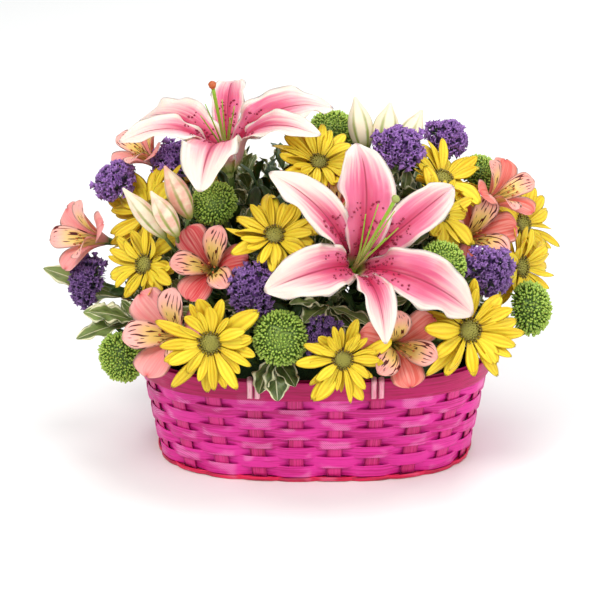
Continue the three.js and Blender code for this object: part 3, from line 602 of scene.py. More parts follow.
# ---------------------------------------------------------------- geometry trees
def strip_tree():
    """A splint that runs round the oval and swings out of and into the line of the stakes."""
    tree = Grower("Woven strip")
    half_length, half_width, height = tree.values("Half Length, Half Width, Height")
    squareness, (stakes, steps) = tree.value("Squareness"), tree.values("Stakes, Steps", "Int")
    weave, side, wander, tall, thick = tree.values("Weave, Side, Wander, Strip Height, Strip Thickness")
    tone, aside, slope, bulge = tree.values("Tone, Out, Slope, Bulge")
    spot, power = tree.node("GeometryNodeInputPosition"), 2.0 / squareness
    x, y, _ = tree.parts(spot)

    def squared(value, power, half):
        return tree.math("SIGN", value) * abs(value) ** power * half

    circle = tree.node("GeometryNodeCurvePrimitiveCircle", Resolution=720, Radius=1.0)
    oval = tree.vector(squared(x, power, half_length), squared(y, power, half_width), height)
    shaped = tree.node("GeometryNodeSetPosition", Geometry=circle, Position=oval)
    even = tree.node("GeometryNodeResampleCurve", mode="COUNT", Curve=shaped, Count=stakes * steps)
    swing = tree.math("MAXIMUM", tree.math("SINE", tree.index / steps * math.pi) * side * 1.5, -1.0)
    swing = tree.math("MINIMUM", swing, 1.0)
    tangent = tree.node("GeometryNodeInputTangent")
    outwards = tree.node("ShaderNodeVectorMath", tangent, (0, 0, 1), operation="CROSS_PRODUCT")
    out_x, out_y, _ = tree.parts(outwards)
    drift = tree.node("ShaderNodeTexNoise", Vector=spot, Scale=28.0, Detail=1.0, out="Fac")
    drift = (drift - 0.5) * wander
    out = aside + swing * weave + drift
    offset = tree.vector(out_x * out, out_y * out, drift * 1.6)
    woven = tree.node("GeometryNodeSetPosition", Geometry=even, Offset=offset)
    marked = tree.store(woven, "swing", swing, "POINT")
    upright = tree.node("GeometryNodeSetCurveNormal", mode="Z_UP", Curve=marked)
    wide = tree.node("GeometryNodeSetCurveRadius", Curve=upright, Radius=swing * bulge + 1.0)

    ring = tree.node("GeometryNodeCurvePrimitiveCircle", Resolution=12, Radius=1.0)
    rise = squared(y, 0.35, tall * 0.5)
    section = tree.vector(squared(x, 0.7, thick * 0.5) - rise * slope, rise)
    profile = tree.node("GeometryNodeSetPosition", Geometry=ring, Position=section)
    band = tree.node("GeometryNodeCurveToMesh", Curve=wide, Profile_Curve=profile)
    rounded = tree.node("GeometryNodeSetShadeSmooth", Geometry=band)
    return tree.done(tree.store(rounded, "tone", tone, "POINT"))


def dome_tree():
    """Florets that cover a lobed dome, in the spiral in which such heads grow."""
    tree = Grower("Florets on a dome")
    floret, (count, seed) = tree.value("Floret", "Object"), tree.values("Count, Seed", "Int")
    radius, height, lowest = tree.values("Radius, Height, Lowest")
    lobes, long, phase = tree.values("Lobes, Long, Phase")
    least, most, lean, middle, lump = tree.values("Least, Most, Lean, Middle, Lump")
    share, turn = (tree.index + 0.5) / count, tree.index * GOLDEN_ANGLE
    polar = tree.math("ARCCOSINE", 1.0 - share * (1.0 - tree.math("COSINE", lowest)))
    rise, spread = tree.math("COSINE", polar), tree.math("SINE", polar)
    east, north = tree.math("COSINE", turn) * spread, tree.math("SINE", turn) * spread
    stretch = 1.0 + (long - 1.0) * tree.math("COSINE", turn) ** 2.0 * spread
    wave = tree.math("SINE", turn * 3.0 + phase) * spread * 0.1
    ripple = tree.math("SINE", turn * 5.0 + polar * 2.0 + phase * 2.0) * 0.08
    reach = stretch * (1.0 + lobes * (wave + ripple - 0.1)) + tree.about(lump, seed, 5)
    place = tree.vector(east * radius * reach, north * radius * reach, rise * height * reach)
    points = tree.node("GeometryNodePoints", Count=count, Position=place, Radius=MM)
    normal = tree.vector(east * height, north * height, rise * radius)
    own_turn = tree.random(0.0, TURN, seed, 3)
    tilt = tree.vector(tree.about(lean, seed, 1), tree.about(lean, seed, 2), own_turn)
    grown = tree.step(share, 0.0, 0.5, middle, 1.0) * tree.random(least, most, seed, 4)
    shape = tree.node("GeometryNodeObjectInfo", Object=floret, out="Geometry")
    values = dict(Points=points, Instance=shape, Rotation=tree.turned(normal, tilt), Scale=grown)
    florets = tree.node("GeometryNodeInstanceOnPoints", **values)
    toned = tree.store(florets, "tone", tree.random(0.0, 1.0, seed, 6), "INSTANCE")
    return tree.done(tree.store(toned, "outwards", share, "INSTANCE"))


def whorl_tree():
    """Petals that stand round a hub, each a little different."""
    tree = Grower("Petals round a hub")
    petals, (count, seed) = tree.value("Petals", "Collection"), tree.values("Count, Seed", "Int")
    hub, lift, start, tilt, tilt_spread = tree.values("Hub, Lift, Start, Tilt, Tilt Spread")
    roll_spread, turn_spread, least, most = tree.values("Roll Spread, Turn Spread, Least, Most")
    turn = tree.index / count * TURN + start + tree.about(turn_spread, seed, 1)
    place = tree.vector(tree.math("COSINE", turn) * hub, tree.math("SINE", turn) * hub, lift)
    points = tree.node("GeometryNodePoints", Count=count, Position=place, Radius=MM)
    tilt = tilt + tree.about(tilt_spread, seed, 3)
    angles = tree.vector(tree.about(roll_spread, seed, 2), -tilt, turn)
    rotation = tree.node("FunctionNodeEulerToRotation", Euler=angles)
    size = tree.random(least, most, seed, 4)
    return tree.done(tree.picked(petals, seed, Points=points, Rotation=rotation, Scale=size))


def twig_tree():
    """Leaves that stand in a spiral along twigs; the twigs are the edges of the mesh it grows on."""
    tree = Grower("Leaves along twigs")
    twigs, leaves = tree.value("Twigs", "Geometry"), tree.value("Leaves", "Collection")
    seed, (spacing, start, angle) = tree.value("Seed", "Int"), tree.values("Spacing, Start, Angle")
    spread, least, most = tree.values("Spread, Least, Most")
    curves = tree.node("GeometryNodeMeshToCurve", Mesh=twigs)
    even = tree.node("GeometryNodeResampleCurve", mode="LENGTH", Curve=curves, Length=spacing)
    leafy = tree.math("GREATER_THAN", tree.node("GeometryNodeSplineParameter", out="Factor"), start)
    turn = tree.index * GOLDEN_ANGLE + tree.about(0.5, seed, 1)
    euler = tree.vector(tree.about(0.4, seed, 3), -(angle + tree.about(spread, seed, 2)), turn)
    way = tree.turned(tree.node("GeometryNodeInputTangent"), euler)
    values = dict(Selection=leafy, Rotation=way, Scale=tree.random(least, most, seed, 4))
    return tree.done(tree.picked(leaves, seed, Points=even, **values))


def gathered(name, shapes):
    """A collection, outside the scene, of the shapes that a tree picks from."""
    collection = bpy.data.collections.new(name)
    for shape in shapes:
        bpy.context.scene.collection.objects.unlink(shape)
        collection.objects.link(shape)
    return collection


def discard(*shapes):
    for shape in shapes:
        bpy.data.objects.remove(shape)


def spread(count, seed):
    """Repeatable random numbers from 0 to 1."""
    return np.random.default_rng(seed).random(count)


# ---------------------------------------------------------------- finishes
def shown(red, green, blue):
    """Display values from 0 to 255 as a linear colour."""
    shares = (value / 255 for value in (red, green, blue))
    return tuple(((v + 0.055) / 1.055) ** 2.4 if v > 0.04 else v / 12.92 for v in shares)


def settings():
    return bpy.context.scene.flower_basket


def finish(**constants):
    """Turns a function that paints a tree into one that makes its material once."""

    def wrap(paint):
        name = paint.__name__
        return lambda: bpy.data.materials.get(name) or paint(Finish(name, **constants))

    return wrap


def cane(tree, grain, dye, wear):
    """Dyed bamboo: fine grain along the splint, uneven dye and pale worn patches."""
    look, fibre = settings().basket, tree.noise(grain, 1.0, 5.0, 0.65)
    dyed = fibre * 2.6 + tree.mottle(42.0, 3.0) * 0.6 + tree.attribute("tone") * 0.3
    tree.base(tree.step(dyed, 1.35, 2.0), getattr(look, dye + "_deep"), getattr(look, dye + "_light"))
    x, y, z = tree.parts(tree.place(4300.0, 4300.0, 4300.0))
    scratches = tree.step(tree.math("SINE", x + y + z) + fibre, 0.2, 1.2) * 0.75 + 0.25
    proud = tree.step(tree.attribute("swing"), 0.3, 0.9) * wear
    patches = tree.noise(tree.place(1.0, 1.0, 2.4), 46.0, 2.0, 0.4)
    rubbed = tree.step(patches, 0.5, 0.64) * scratches * proud
    tree.coat(tree.clamp(rubbed), look.worn)
    return tree.done(tree.step(fibre, 0.2, 0.8, 0.34, 0.52) + rubbed * 0.2, fibre, 0.25, 0.6)


@finish(Specular_IOR_Level=0.35)
def woven_cane(tree):
    return cane(tree, tree.place(30.0, 30.0, 900.0), "cane", 0.55)


@finish(Specular_IOR_Level=0.45)
def upright_cane(tree):
    return cane(tree, tree.own(9.0, 1.5, 31.0), "stake", 0.45)


# The rim bands take darker colours than the splints: partly a redder dye, partly painted shade from the
# blooms that hang over the rim.
@finish(Specular_IOR_Level=0.3)
def rim_cane(tree):
    return cane(tree, tree.place(30.0, 30.0, 900.0), "rim", 0.1)


@finish(Specular_IOR_Level=0.45)
def foot_cane(tree):
    return cane(tree, tree.place(50.0, 50.0, 900.0), "foot", 0.3)


@finish(Specular_IOR_Level=0.45)
def tie_cane(tree):
    return cane(tree, tree.own(5.0, 3.0, 31.0), "tie", 0.5)


@finish(Specular_IOR_Level=0.4)
def liner_film(tree):
    crease = tree.mottle(160.0, 4.0)
    tree.base(crease, shown(22, 34, 24), shown(44, 58, 42))
    return tree.done(tree.step(crease, 0.3, 0.7, 0.3, 0.5), crease, 0.6)


@finish()
def wet_foam(tree):
    pores, crumble = tree.mottle(1300.0, 3.0, 0.7), tree.mottle(120.0, 3.0)
    tree.base(tree.step(pores + crumble * 0.4, 0.5, 0.9), shown(28, 58, 34), shown(72, 110, 66))
    return tree.done(crumble * 0.1 + 0.85, pores, 0.5, 0.9)


@finish(Subsurface_Weight=0.05, Subsurface_Scale=0.002)
def stem_green(tree):
    fine = tree.noise(tree.place(1.0, 1.0, 0.15), 1500.0)
    tree.base(tree.step(tree.mottle(90.0, 3.0), 0.3, 0.7), shown(62, 88, 36), shown(112, 138, 62))
    tree.shade(fine * 0.4 + 0.8)
    return tree.done(0.5 + fine * 0.1, fine, 0.15)


@finish()
def twig_bark(tree):
    blotch = tree.mottle(260.0, 4.0)
    tree.base(tree.step(blotch, 0.35, 0.65), shown(84, 60, 34), shown(134, 112, 70))
    return tree.done(0.7, blotch, 0.3, 0.8)


@finish(Subsurface_Weight=0.15, Subsurface_Scale=0.003, Specular_IOR_Level=0.3)
def daisy_yellow(tree):
    look, streak = settings().blooms, tree.noise(tree.own(5.0, 1.6, 23.0), 1.0, 3.0)
    along, across, under = tree.marks()
    grooves = tree.math("COSINE", across * RAY_GROOVES)
    bright = tree.step(streak + tree.attribute("tone") * 0.35, 0.35, 0.85)
    tree.base(bright, look.daisy_deep, look.daisy_light)
    # Painted shade on the petals next to the disc.
    tree.coat(tree.step(along, 0.3, 0.0) * 0.45, look.daisy_root)
    # Painted shade in the grooves of each petal, in the deeper yellow.
    tree.coat(tree.step(grooves, 0.2, -1.0) * 0.4, look.daisy_deep)
    # Painted shade on the undersides of the petals.
    tree.coat(under * 0.3, look.daisy_root)
    return tree.done(tree.step(streak, 0.2, 0.8, 0.42, 0.58), grooves * 0.35 + streak * 0.5, 0.35, 0.6)


@finish()
def daisy_disc(tree):
    look, fine = settings().blooms, tree.mottle(1800.0)
    ripe = tree.step(tree.attribute("outwards") + tree.attribute("tone") * 0.2, 0.15, 0.75)
    tree.base(ripe, look.disc_middle, look.disc_edge)
    # Painted shade between the disc florets: their lower parts and the bottom of the core go dark.
    tree.coat(tree.step(tree.marks()[0], 0.7, 0.2) * 0.8, look.disc_deep)
    tree.shade(fine * 0.5 + 0.75)
    return tree.done(0.6, fine, 0.2)


@finish(Subsurface_Weight=0.08, Subsurface_Scale=0.002)
def button_green(tree):
    look, fine = settings().blooms, tree.mottle(1500.0)
    ripe = tree.step(tree.attribute("tone") * 0.6 + tree.attribute("outwards") * 0.4, 0.1, 0.9)
    tree.base(ripe, look.button_light, look.button_green)
    # Painted shade between the florets, on their lower parts.
    tree.coat(tree.step(tree.marks()[0], 0.85, 0.35), look.button_deep)
    tree.shade(fine * 0.3 + 0.85)
    return tree.done(0.5, fine, 0.12)


@finish(Sheen_Weight=0.15)
def statice_purple(tree):
    look, crinkle, along = settings().blooms, tree.mottle(900.0, 3.0), tree.marks()[0]
    pale = tree.step(tree.attribute("tone") * 0.7 + crinkle * 0.5, 0.2, 1.0)
    tree.base(pale, look.statice_purple, look.statice_light)
    # Painted shade on the heads that stand lower down, fading out between 14 and 18 cm above the floor.
    tree.coat(tree.step(tree.parts(tree.place())[2], 0.18, 0.14) * 0.5, look.statice_deep)
    tree.coat(tree.step(along, 0.84, 1.0) * 0.45, look.statice_light)
    # Painted shade inside and under each floret and on the lower part of the core.
    tree.coat(tree.step(along, 0.8, 0.2), look.statice_deep)
    return tree.done(0.6 + crinkle * 0.15, crinkle, 0.3, 0.7)


@finish()
def statice_green(tree):
    blotch = tree.mottle(220.0, 3.0)
    pale = tree.step(blotch + tree.attribute("tone") * 0.3, 0.3, 0.9)
    tree.base(pale, shown(66, 92, 48), shown(124, 142, 84))
    return tree.done(0.6, blotch, 0.2)


@finish(Subsurface_Weight=0.15, Subsurface_Scale=0.003, Specular_IOR_Level=0.35)
def alstroemeria_petal(tree):
    look, streak = settings().blooms, tree.noise(tree.own(9.0, 1.2, 37.0), 1.0, 3.0)
    along, across, under = tree.marks()
    wide, inner = abs(across), tree.step(tree.attribute("tone"), 0.49, 0.51)
    hue = tree.attribute("hue", "Color")
    tree.base(tree.step(streak, 0.35, 0.7) * 0.45, hue, look.alstroemeria_pale)
    tree.coat(tree.step(wide, 0.55, 1.0) * 0.3, look.alstroemeria_pale)
    tree.coat(inner * 0.5, look.alstroemeria_pale)
    tip = tree.step(along, 0.78, 1.0) * tree.step(wide, 0.5, 0.0) * (1.0 - inner)
    tree.coat(tip * 0.8, look.alstroemeria_coral)
    golden = tree.step(along, 0.85, 0.45) * tree.step(wide, 1.0, 0.4) * inner
    tree.coat(golden * 0.9, look.alstroemeria_gold)
    dashes = tree.step(tree.noise(tree.own(7.0, 5.0, 53.0), 1.0, 0.0), 0.62, 0.65)
    dashes = dashes * tree.step(along, 0.2, 0.3) * tree.step(along, 0.92, 0.84) * inner
    tree.coat(dashes * (1.0 - under * 0.6), shown(78, 24, 24))
    tree.coat(tree.step(along, 0.16, 0.0) * 0.8, shown(120, 138, 62))
    return tree.done(0.45, tree.math("COSINE", across * 21.0) * 0.3 + streak, 0.25)


@finish(Subsurface_Weight=0.2, Subsurface_Scale=0.004, Specular_IOR_Level=0.4)
def lily_petal_skin(tree):
    look, streak = settings().blooms, tree.noise(tree.own(8.0, 2.0, 29.0), 1.0, 4.0, 0.6)
    along, across, under = tree.marks()
    wide, uneven, tone = abs(across), streak - 0.5, tree.attribute("tone")
    heart = tree.step(wide + uneven * 0.6, 0.62, 0.05)
    heart = heart * tree.step(along, 0.05, 0.25) * tree.step(along, 0.9, 0.4)
    tree.base(tree.clamp(heart * 0.9), look.lily_pink, look.lily_deep)
    fade = tree.step(along + uneven * 0.45 + wide * 0.26 + tone * 0.24, 0.72, 1.16)
    tree.coat(fade * 0.92, look.lily_cream)
    rim = tree.step(wide + uneven * 0.5 + along * 0.16 + tone * 0.16, 0.82, 1.1)
    tree.coat(rim * 0.95, look.lily_cream)
    vein = tree.step(wide, 0.05, 0.012) * tree.step(along, 0.08, 0.2) * tree.step(along, 0.97, 0.8)
    tree.coat(vein * 0.8, look.lily_vein)
    tree.coat(under * 0.4, look.lily_cream)
    tree.coat(tree.step(along, 0.2, 0.06), shown(196, 206, 120))
    ridges = tree.math("COSINE", across * 26.0) * 0.25 + streak
    return tree.done(tree.step(streak, 0.2, 0.8, 0.36, 0.5), ridges, 0.3)


@finish(Specular_IOR_Level=0.5)
def lily_spots(tree):
    tree.base(tree.mottle(900.0), shown(112, 8, 38), shown(164, 24, 66))
    return tree.done(0.4)


@finish(Subsurface_Weight=0.1, Subsurface_Scale=0.002)
def lily_style(tree):
    fine = tree.mottle(500.0)
    tree.base(tree.step(tree.marks()[0], 0.1, 0.8), shown(206, 214, 140), shown(140, 184, 48))
    tree.shade(fine * 0.2 + 0.9)
    return tree.done(0.4, fine, 0.1)


@finish()
def lily_stigma(tree):
    fine = tree.mottle(700.0, 3.0)
    tree.base(tree.attribute("tone"), shown(150, 158, 78), shown(178, 84, 34))
    tree.shade(fine * 0.6 + 0.7)
    return tree.done(0.45, fine, 0.3)


@finish(Subsurface_Weight=0.15, Subsurface_Scale=0.004, Specular_IOR_Level=0.4)
def bud_skin(tree):
    look, mottle, along = settings().blooms, tree.mottle(130.0, 4.0), tree.marks()[0]
    pink = tree.step(mottle + tree.attribute("tone") * 0.3, 0.45, 0.85)
    tree.base(pink * 0.85, look.bud_cream, look.bud_blush)
    green = tree.step(tree.attribute("rib") + (mottle - 0.5) * 0.4, 0.55, 0.95)
    tree.coat(tree.clamp(green * tree.step(along, 1.1, 0.3) * 0.95), look.bud_green)
    tree.coat(tree.step(along, 0.28, 0.02) * 0.9, look.bud_green)
    return tree.done(tree.step(mottle, 0.3, 0.7, 0.38, 0.5), tree.mottle(700.0, 3.0), 0.15)


def leaf_skin(tree, deep, light, edge, border):
    along, across, under = tree.marks()
    wide, blotch = abs(across), tree.noise(tree.own(2.2, 4.0, 41.0), 1.0, 3.0)
    side_veins = tree.math("SINE", along * 62.0 - wide * 16.0)
    tree.base(tree.step(blotch + tree.attribute("tone") * 0.3, 0.35, 0.85), deep, light)
    tree.coat(tree.step(side_veins, 0.75, 1.0) * 0.25, light)
    tree.coat(tree.step(wide, 0.07, 0.02) * 0.7, edge)
    tree.coat(tree.step(wide + (blotch - 0.5) * 0.5, border, border + 0.12), edge)
    tree.coat(under * 0.4, light)
    height = blotch * 0.6 - tree.step(wide, 0.1, 0.0) * 0.8 + side_veins * 0.15
    return tree.done(tree.step(blotch, 0.2, 0.8, 0.3, 0.45), height, 0.3, 0.6)


@finish(Subsurface_Weight=0.05, Subsurface_Scale=0.002, Specular_IOR_Level=0.5)
def variegated_leaf(tree):
    look = settings().greens
    return leaf_skin(tree, look.leaf_deep, look.leaf_light, look.leaf_edge, 0.72)


@finish(Subsurface_Weight=0.05, Subsurface_Scale=0.002, Specular_IOR_Level=0.5)
def dark_leaf(tree):
    look = settings().greens
    return leaf_skin(tree, look.filler_deep, look.filler_light, look.filler_light, 1.2)


# ---------------------------------------------------------------- basket
def wall_sizes(z):
    """Half the length and half the width of the wall at a height."""
    share = np.asarray(z, float) / BASKET.height
    return [foot + (rim - foot) * share for foot, rim in zip(BASKET.foot, BASKET.rim)]


def bowed(value, power):
    return np.sign(value) * abs(value) ** power


def wall_point(turn, z, out=0.0):
    """A point of the wall at a turn round the oval and a height, some way out from its middle."""
    turn, z, out = np.broadcast_arrays(*(np.asarray(value, float) for value in (turn, z, out)))
    (long, short), power = wall_sizes(z), 2 / BASKET.squareness
    x, y = np.cos(turn), np.sin(turn)
    point = np.stack([long * bowed(x, power), short * bowed(y, power), z], -1)
    normal = np.stack([bowed(x, 2 - power) / long, bowed(y, 2 - power) / short, 0 * z], -1)
    return point + unit(normal) * out[..., None]


def even_turns(count):
    """The turns at which points lie evenly along the oval."""
    turns = np.linspace(0, TURN, 2401)
    run = run_of(wall_point(turns, BASKET.height / 2))
    return np.interp(np.arange(count) / count * run[-1], run, turns)


def half_across(place, length, width):
    """Half the width of the oval at a distance from its middle."""
    power = BASKET.squareness
    return width * (1 - (abs(place) / length) ** power) ** (1 / power)


def round_strip(name, group, height, material, **changes):
    """A splint that runs round the wall at a height, with changes to its usual measures."""
    (long, short), look = wall_sizes(height), settings().basket
    sizes = dict(
        half_length=long, half_width=short, height=height, out=0.0, weave=BASKET.weave, wander=0.5,
        strip_height=BASKET.strip_height, strip_thickness=BASKET.strip_thickness,
    )
    metres = {key: float(changes.pop(key, value)) * MM for key, value in sizes.items()}
    plain = dict(squareness=BASKET.squareness, stakes=look.stakes, steps=10, slope=0.15)
    plain.update(side=1.0, bulge=look.strip_bulge)
    return grow(name, group, **metres, **{**plain, **changes}, material=material)


def make_weavers():
    group, tones = strip_tree(), spread(BASKET.rows, 7)
    for row, tone in enumerate(tones):
        middle, name = BASKET.first_row + row * BASKET.row_pitch + BASKET.half_row, f"weaver_{row + 1}"
        side = 1.0 if row % 2 else -1.0
        strip = round_strip(name, group, middle, woven_cane(), side=side, tone=float(tone))
        joined(f"woven_strip_{row + 1}", [strip], "wicker", name)


def make_stakes_and_base():
    stakes, group, steps, tones = Maker(), strip_tree(), 40, spread(BASKET.stakes, 3)
    reach = round(steps * BASKET.stake_width / 2 / BASKET.stake_spacing)
    turns, (low, high) = even_turns(BASKET.stakes * steps), BASKET.stake_ends
    for i, tone in enumerate(tones):
        centre = round((i + 0.5) * steps)
        first, last = turns[centre - reach], turns[centre + reach]

        def stake(along, across):
            turn = (first + last) / 2 - across * (last - first) / 2
            out = BASKET.stake_thickness / 2 + 0.35 * (1 - across**2)
            return wall_point(turn, low + (high - low) * along, out)

        stakes.sheet(stake, rows=14, columns=7, thickness=BASKET.stake_thickness, tone=tone)

    sizes, pitch, half_width = wall_sizes(0), BASKET.base_pitch, BASKET.base_splint_half
    for axis, (length, width) in enumerate((sizes, sizes[::-1])):
        count = int((width - 7) / pitch)
        for k in range(-count, count + 1):
            half = half_across(abs(k) * pitch + half_width, width, length - 2)
            phase = 1 if (k + axis) % 2 else -1

            def splint(along, across):
                place, aside = (2 * along - 1) * half, k * pitch + across * half_width
                z = BASKET.base_height + phase * 0.42 * np.cos(math.pi * place / pitch)
                return np.stack([-aside, place, z] if axis else [place, aside, z], -1)

            rows, tone = max(8, int(half / 1.6)), tones[(k + 12) % len(tones)]
            stakes.sheet(splint, rows, columns=4, thickness=0.55, tone=tone)
    changes = dict(weave=1.3, out=1.0, strip_height=3.0, strip_thickness=1.3, bulge=0.1, wander=0.9)
    parts = [stakes.build("stakes", upright_cane())]
    for side in (-1.0, 1.0):
        changes.update(side=side, tone=0.5 + side * 0.4)
        parts.append(round_strip("foot", group, 1.9 + side * 0.2, foot_cane(), **changes))
    joined("stakes_and_base", parts, "wicker_dark", "base_and_stakes")


def tie_path(off):
    """The way of a tie over the rim, from low outside to low inside, as [out, height]."""
    outside = off + BASKET.band_thickness / 2 + BASKET.tie_clearance + BASKET.tie_thickness
    inside, low = -off - BASKET.band_thickness / 2 - 1.0, BAND_LOW + 2.5
    top = BASKET.height + 0.35 + BASKET.tie_thickness
    return np.array([
        [outside, low], [outside, top - 1.6], [outside - 0.5, top - 0.4], [outside - 1.8, top], [0, top],
        [inside + 1.6, top], [inside + 0.4, top - 0.5], [inside, top - 1.8], [inside, low + 4],
    ])


def make_rim():
    group, middle = strip_tree(), (BAND_LOW + BASKET.height) / 2
    off = BASKET.stake_thickness / 2 + BASKET.band_thickness / 2 + BASKET.band_clearance
    band = dict(strip_height=BASKET.height - BAND_LOW, strip_thickness=BASKET.band_thickness, weave=0.0)
    band.update(wander=0.7, bulge=0.0)
    outer = round_strip("outer", group, middle, rim_cane(), out=off, tone=0.4, **band)
    joined("outer_rim_band", [outer], "wicker", "rim_band_outer")
    inner = round_strip("inner", group, middle, rim_cane(), out=-off, tone=0.7, **band)
    ties, path, tones = Maker(), tie_path(off), iter(spread(8, 5))
    run = run_of(path)
    for side, end, half in product((-1, 1), repeat=3):
        x = end * BASKET.tie_spread + half * BASKET.tie_pitch / 2

        def surface(along, across):
            out, z = (np.interp(along * run[-1], run, path[:, k]) for k in (0, 1))
            aside = x - side * across * BASKET.tie_width / 2
            y = half_across(aside, *wall_sizes(z)) + out + 0.15 * (1 - across**2)
            return np.stack([aside, side * y, z], -1)

        ties.sheet(surface, rows=44, columns=5, thickness=BASKET.tie_thickness, tone=next(tones))
    parts = [inner, ties.build("ties", tie_cane())]
    joined("inner_rim_band_and_ties", parts, "wicker_dark", "rim_band_inner_and_ties")


def dress(node, material):
    """Gives a solid that stays in view its finish."""
    for slot in frame["nodes"][node].material_slots:
        slot.material = material


# ---------------------------------------------------------------- stems and heads
def foot_of(point):
    """Where a stem to a point leaves the foam."""
    x, y = (min(max(at * share, -most), most) for at, share, most in zip(point, FAN.spread, FAN.limit))
    return Vector((x, y, FAN.depth + FAN.rise * (point[2] - 100)))


def bent(path, step=11):
    """Points every few millimetres along a path, with its corners eased."""
    path = np.asarray([list(point) for point in path], float)
    run = run_of(path)
    share = np.linspace(0, run[-1], max(4, int(run[-1] / step) + 1))
    points = np.stack([np.interp(share, run, path[:, k]) for k in range(3)], -1)
    points[1:-1] = (points[:-2] + 2 * points[1:-1] + points[2:]) / 4
    return points


def stem_piece(heads, radius, neck):
    """A stem from the foam to a spray, with a side branch where there is a second head."""
    stems, tops = Maker(), [Vector(head.at) for head in heads]
    necks = [top - facing(head) * neck for top, head in zip(tops, heads)]
    if len(heads) == 1:
        stems.tube(bent([foot_of(necks[0]), necks[0], tops[0]]), radius)
    else:
        middle = (necks[0] + necks[1]) / 2
        fork = middle.lerp(foot_of(middle), 0.35)
        stems.tube(bent([foot_of(fork), fork, necks[0], tops[0]]), radius)
        stems.tube(bent([fork, necks[1], tops[1]]), radius * 0.8)
    return stems.build("stems", stem_green())


def covered(group, floret, material, matrix, radius, height, **values):
    """Florets on a dome of a radius and a height in millimetres."""
    usual = dict(radius=radius * MM, height=height * MM, lobes=0.0, long=1.0, phase=0.0)
    usual.update(least=0.8, most=1.15)
    piece = grow("florets", group, floret=floret, material=material, **{**usual, **values})
    return carried(piece, matrix)


def make_blooms(table, slot, parts_of, neck, radius):
    """Stands the heads of every spray on one stem; parts_of gives the pieces of a head."""
    for name, heads in table.items():
        parts = [stem_piece(heads, radius, neck)]
        for head in heads:
            parts += parts_of(head, placing(head))
        joined(name + "_bloom", parts, slot, name)


def spoke(turn):
    """A flat step of 1 away from the axis."""
    return np.array([math.cos(turn), math.sin(turn), 0])


# ---------------------------------------------------------------- daisies
DAISY = SimpleNamespace(radius=33, hub=6.6, disc=7.2, cup=12)
RAY_GROOVES = 9.4
# Curl at the tip, twist, arch, half width, share of the full length, and depth of the notched tip.
DAISY_RAYS = [
    (-1.0, 0.1, 1.6, 4.7, 1.0, 0.02),
    (3.4, -0.25, 1.0, 4.0, 0.9, 0.0),
    (-4.5, 0.3, 2.6, 5.8, 1.02, 0.03),
    (1.2, -0.1, 0.8, 3.1, 0.8, 0.0),
    (-2.0, -0.4, 3.0, 4.3, 1.08, 0.025),
    (6.0, 0.35, 0.4, 4.4, 0.92, 0.0),
    (-7.0, 0.0, 2.0, 5.0, 0.86, 0.03),
]
# Height and radius of each ring of the green cup under a daisy.
DAISY_CUP = np.array([[-6, 1.7], [-5.2, 3.0], [-3.4, 5.4], [-1.4, 7.0], [0.4, 7.2], [0.8, 5.0]])


def daisy_petals():
    """A few unlike ray petals that lie along +X from their roots."""
    made = []
    for k, (curl, twist, arch, half_width, share, notch) in enumerate(DAISY_RAYS):
        petal, length = Maker(), (DAISY.radius - DAISY.hub + 3) * share

        def surface(along, across):
            half = half_width * smooth([0.3, 0.5, 0.84, 1.0, 0.82, 0.3], along)
            half = half * rounded_end(along, 0.92, 0.4)
            trough, grooves = 1 - across**2, 0.55 * np.cos(across * RAY_GROOVES)
            lift = curl * along**3 + (arch + grooves - 1.1 * trough) * hump(along)
            reach = length * (along - notch * trough * along**8)
            return np.stack([reach, half * across, lift + twist * half * across * along * 2], -1)

        petal.sheet(surface, rows=12, columns=9, thickness=0.45, bunch=0.8)
        made.append(petal.build(f"ray_{k}", daisy_yellow()))
    return gathered("daisy petals", made)


def make_daisies():
    petals, whorl, domes, maker = daisy_petals(), whorl_tree(), dome_tree(), Maker()
    maker.flare([[0, 0.35], [1.5, 0.55], [2.1, 0.75], [1.7, 0.25]], 5)
    floret = maker.build("disc floret", daisy_disc())
    tilt, count = math.radians(DAISY.cup), settings().blooms.daisy_petals
    shared = dict(petals=petals, hub=4.4 * MM, tilt_spread=0.2, roll_spread=0.5, turn_spread=0.13)
    upper = dict(count=count, lift=1.1 * MM, tilt=tilt + 0.1, start=0.0, least=0.72, most=1.02)
    lower = dict(count=count - 1, lift=-0.6 * MM, tilt=tilt - 0.06, start=0.28, least=0.86, most=1.17)

    def parts_of(head, matrix):
        core, cup, parts = Maker(), Maker(), []
        for row, seed in ((upper, head.seed), (lower, head.seed + 40)):
            rays = grow("rays", whorl, material=daisy_yellow(), seed=seed, **shared, **row)
            parts.append(carried(rays, matrix))
        values = dict(lowest=1.75, lean=0.2, middle=0.65, lump=0.02, count=120, seed=head.seed)
        parts.append(covered(domes, floret, daisy_disc(), matrix, DAISY.disc, 3.6, **values))
        core.dome(DAISY.disc, 3.6, 1.8, matrix=matrix)
        rings = hoops(DAISY_CUP[:, 1:], DAISY_CUP[:, :1], 18)
        cup.skin(rings, np.linspace(0, 1, len(rings)), matrix=matrix)
        return parts + [core.build("core", daisy_disc()), cup.build("cup", stem_green())]

    make_blooms(DAISIES, "daisy", parts_of, neck=16, radius=1.5)
    discard(floret, *petals.objects)


# ---------------------------------------------------------------- buttons and statice
def make_buttons():
    domes, maker = dome_tree(), Maker()
    maker.flare([[-1.5, 0.3], [1.4, 0.6], [3.2, 0.76], [4.2, 0.42], [2.8, 0.12]], 5)
    floret = maker.build("button floret", button_green())
    values = dict(lowest=2.2, middle=0.86, lean=0.36, lump=0.04, count=settings().blooms.button_florets)

    def parts_of(head, matrix):
        core = Maker()
        # The core under the florets is darkened all over by the painted shade of the gaps, most at its
        # bottom, as its marks stop at 0.68.
        core.dome(14.5, 11.3, 2.3, tone=0.6, matrix=matrix, sides=24, rings=14, bright=0.68)
        cover = covered(domes, floret, button_green(), matrix, 14.2, 11.0, seed=head.seed, **values)
        return [core.build("core", button_green()), cover]

    make_blooms(BUTTONS, "button", parts_of, neck=22, radius=1.5)
    discard(floret)


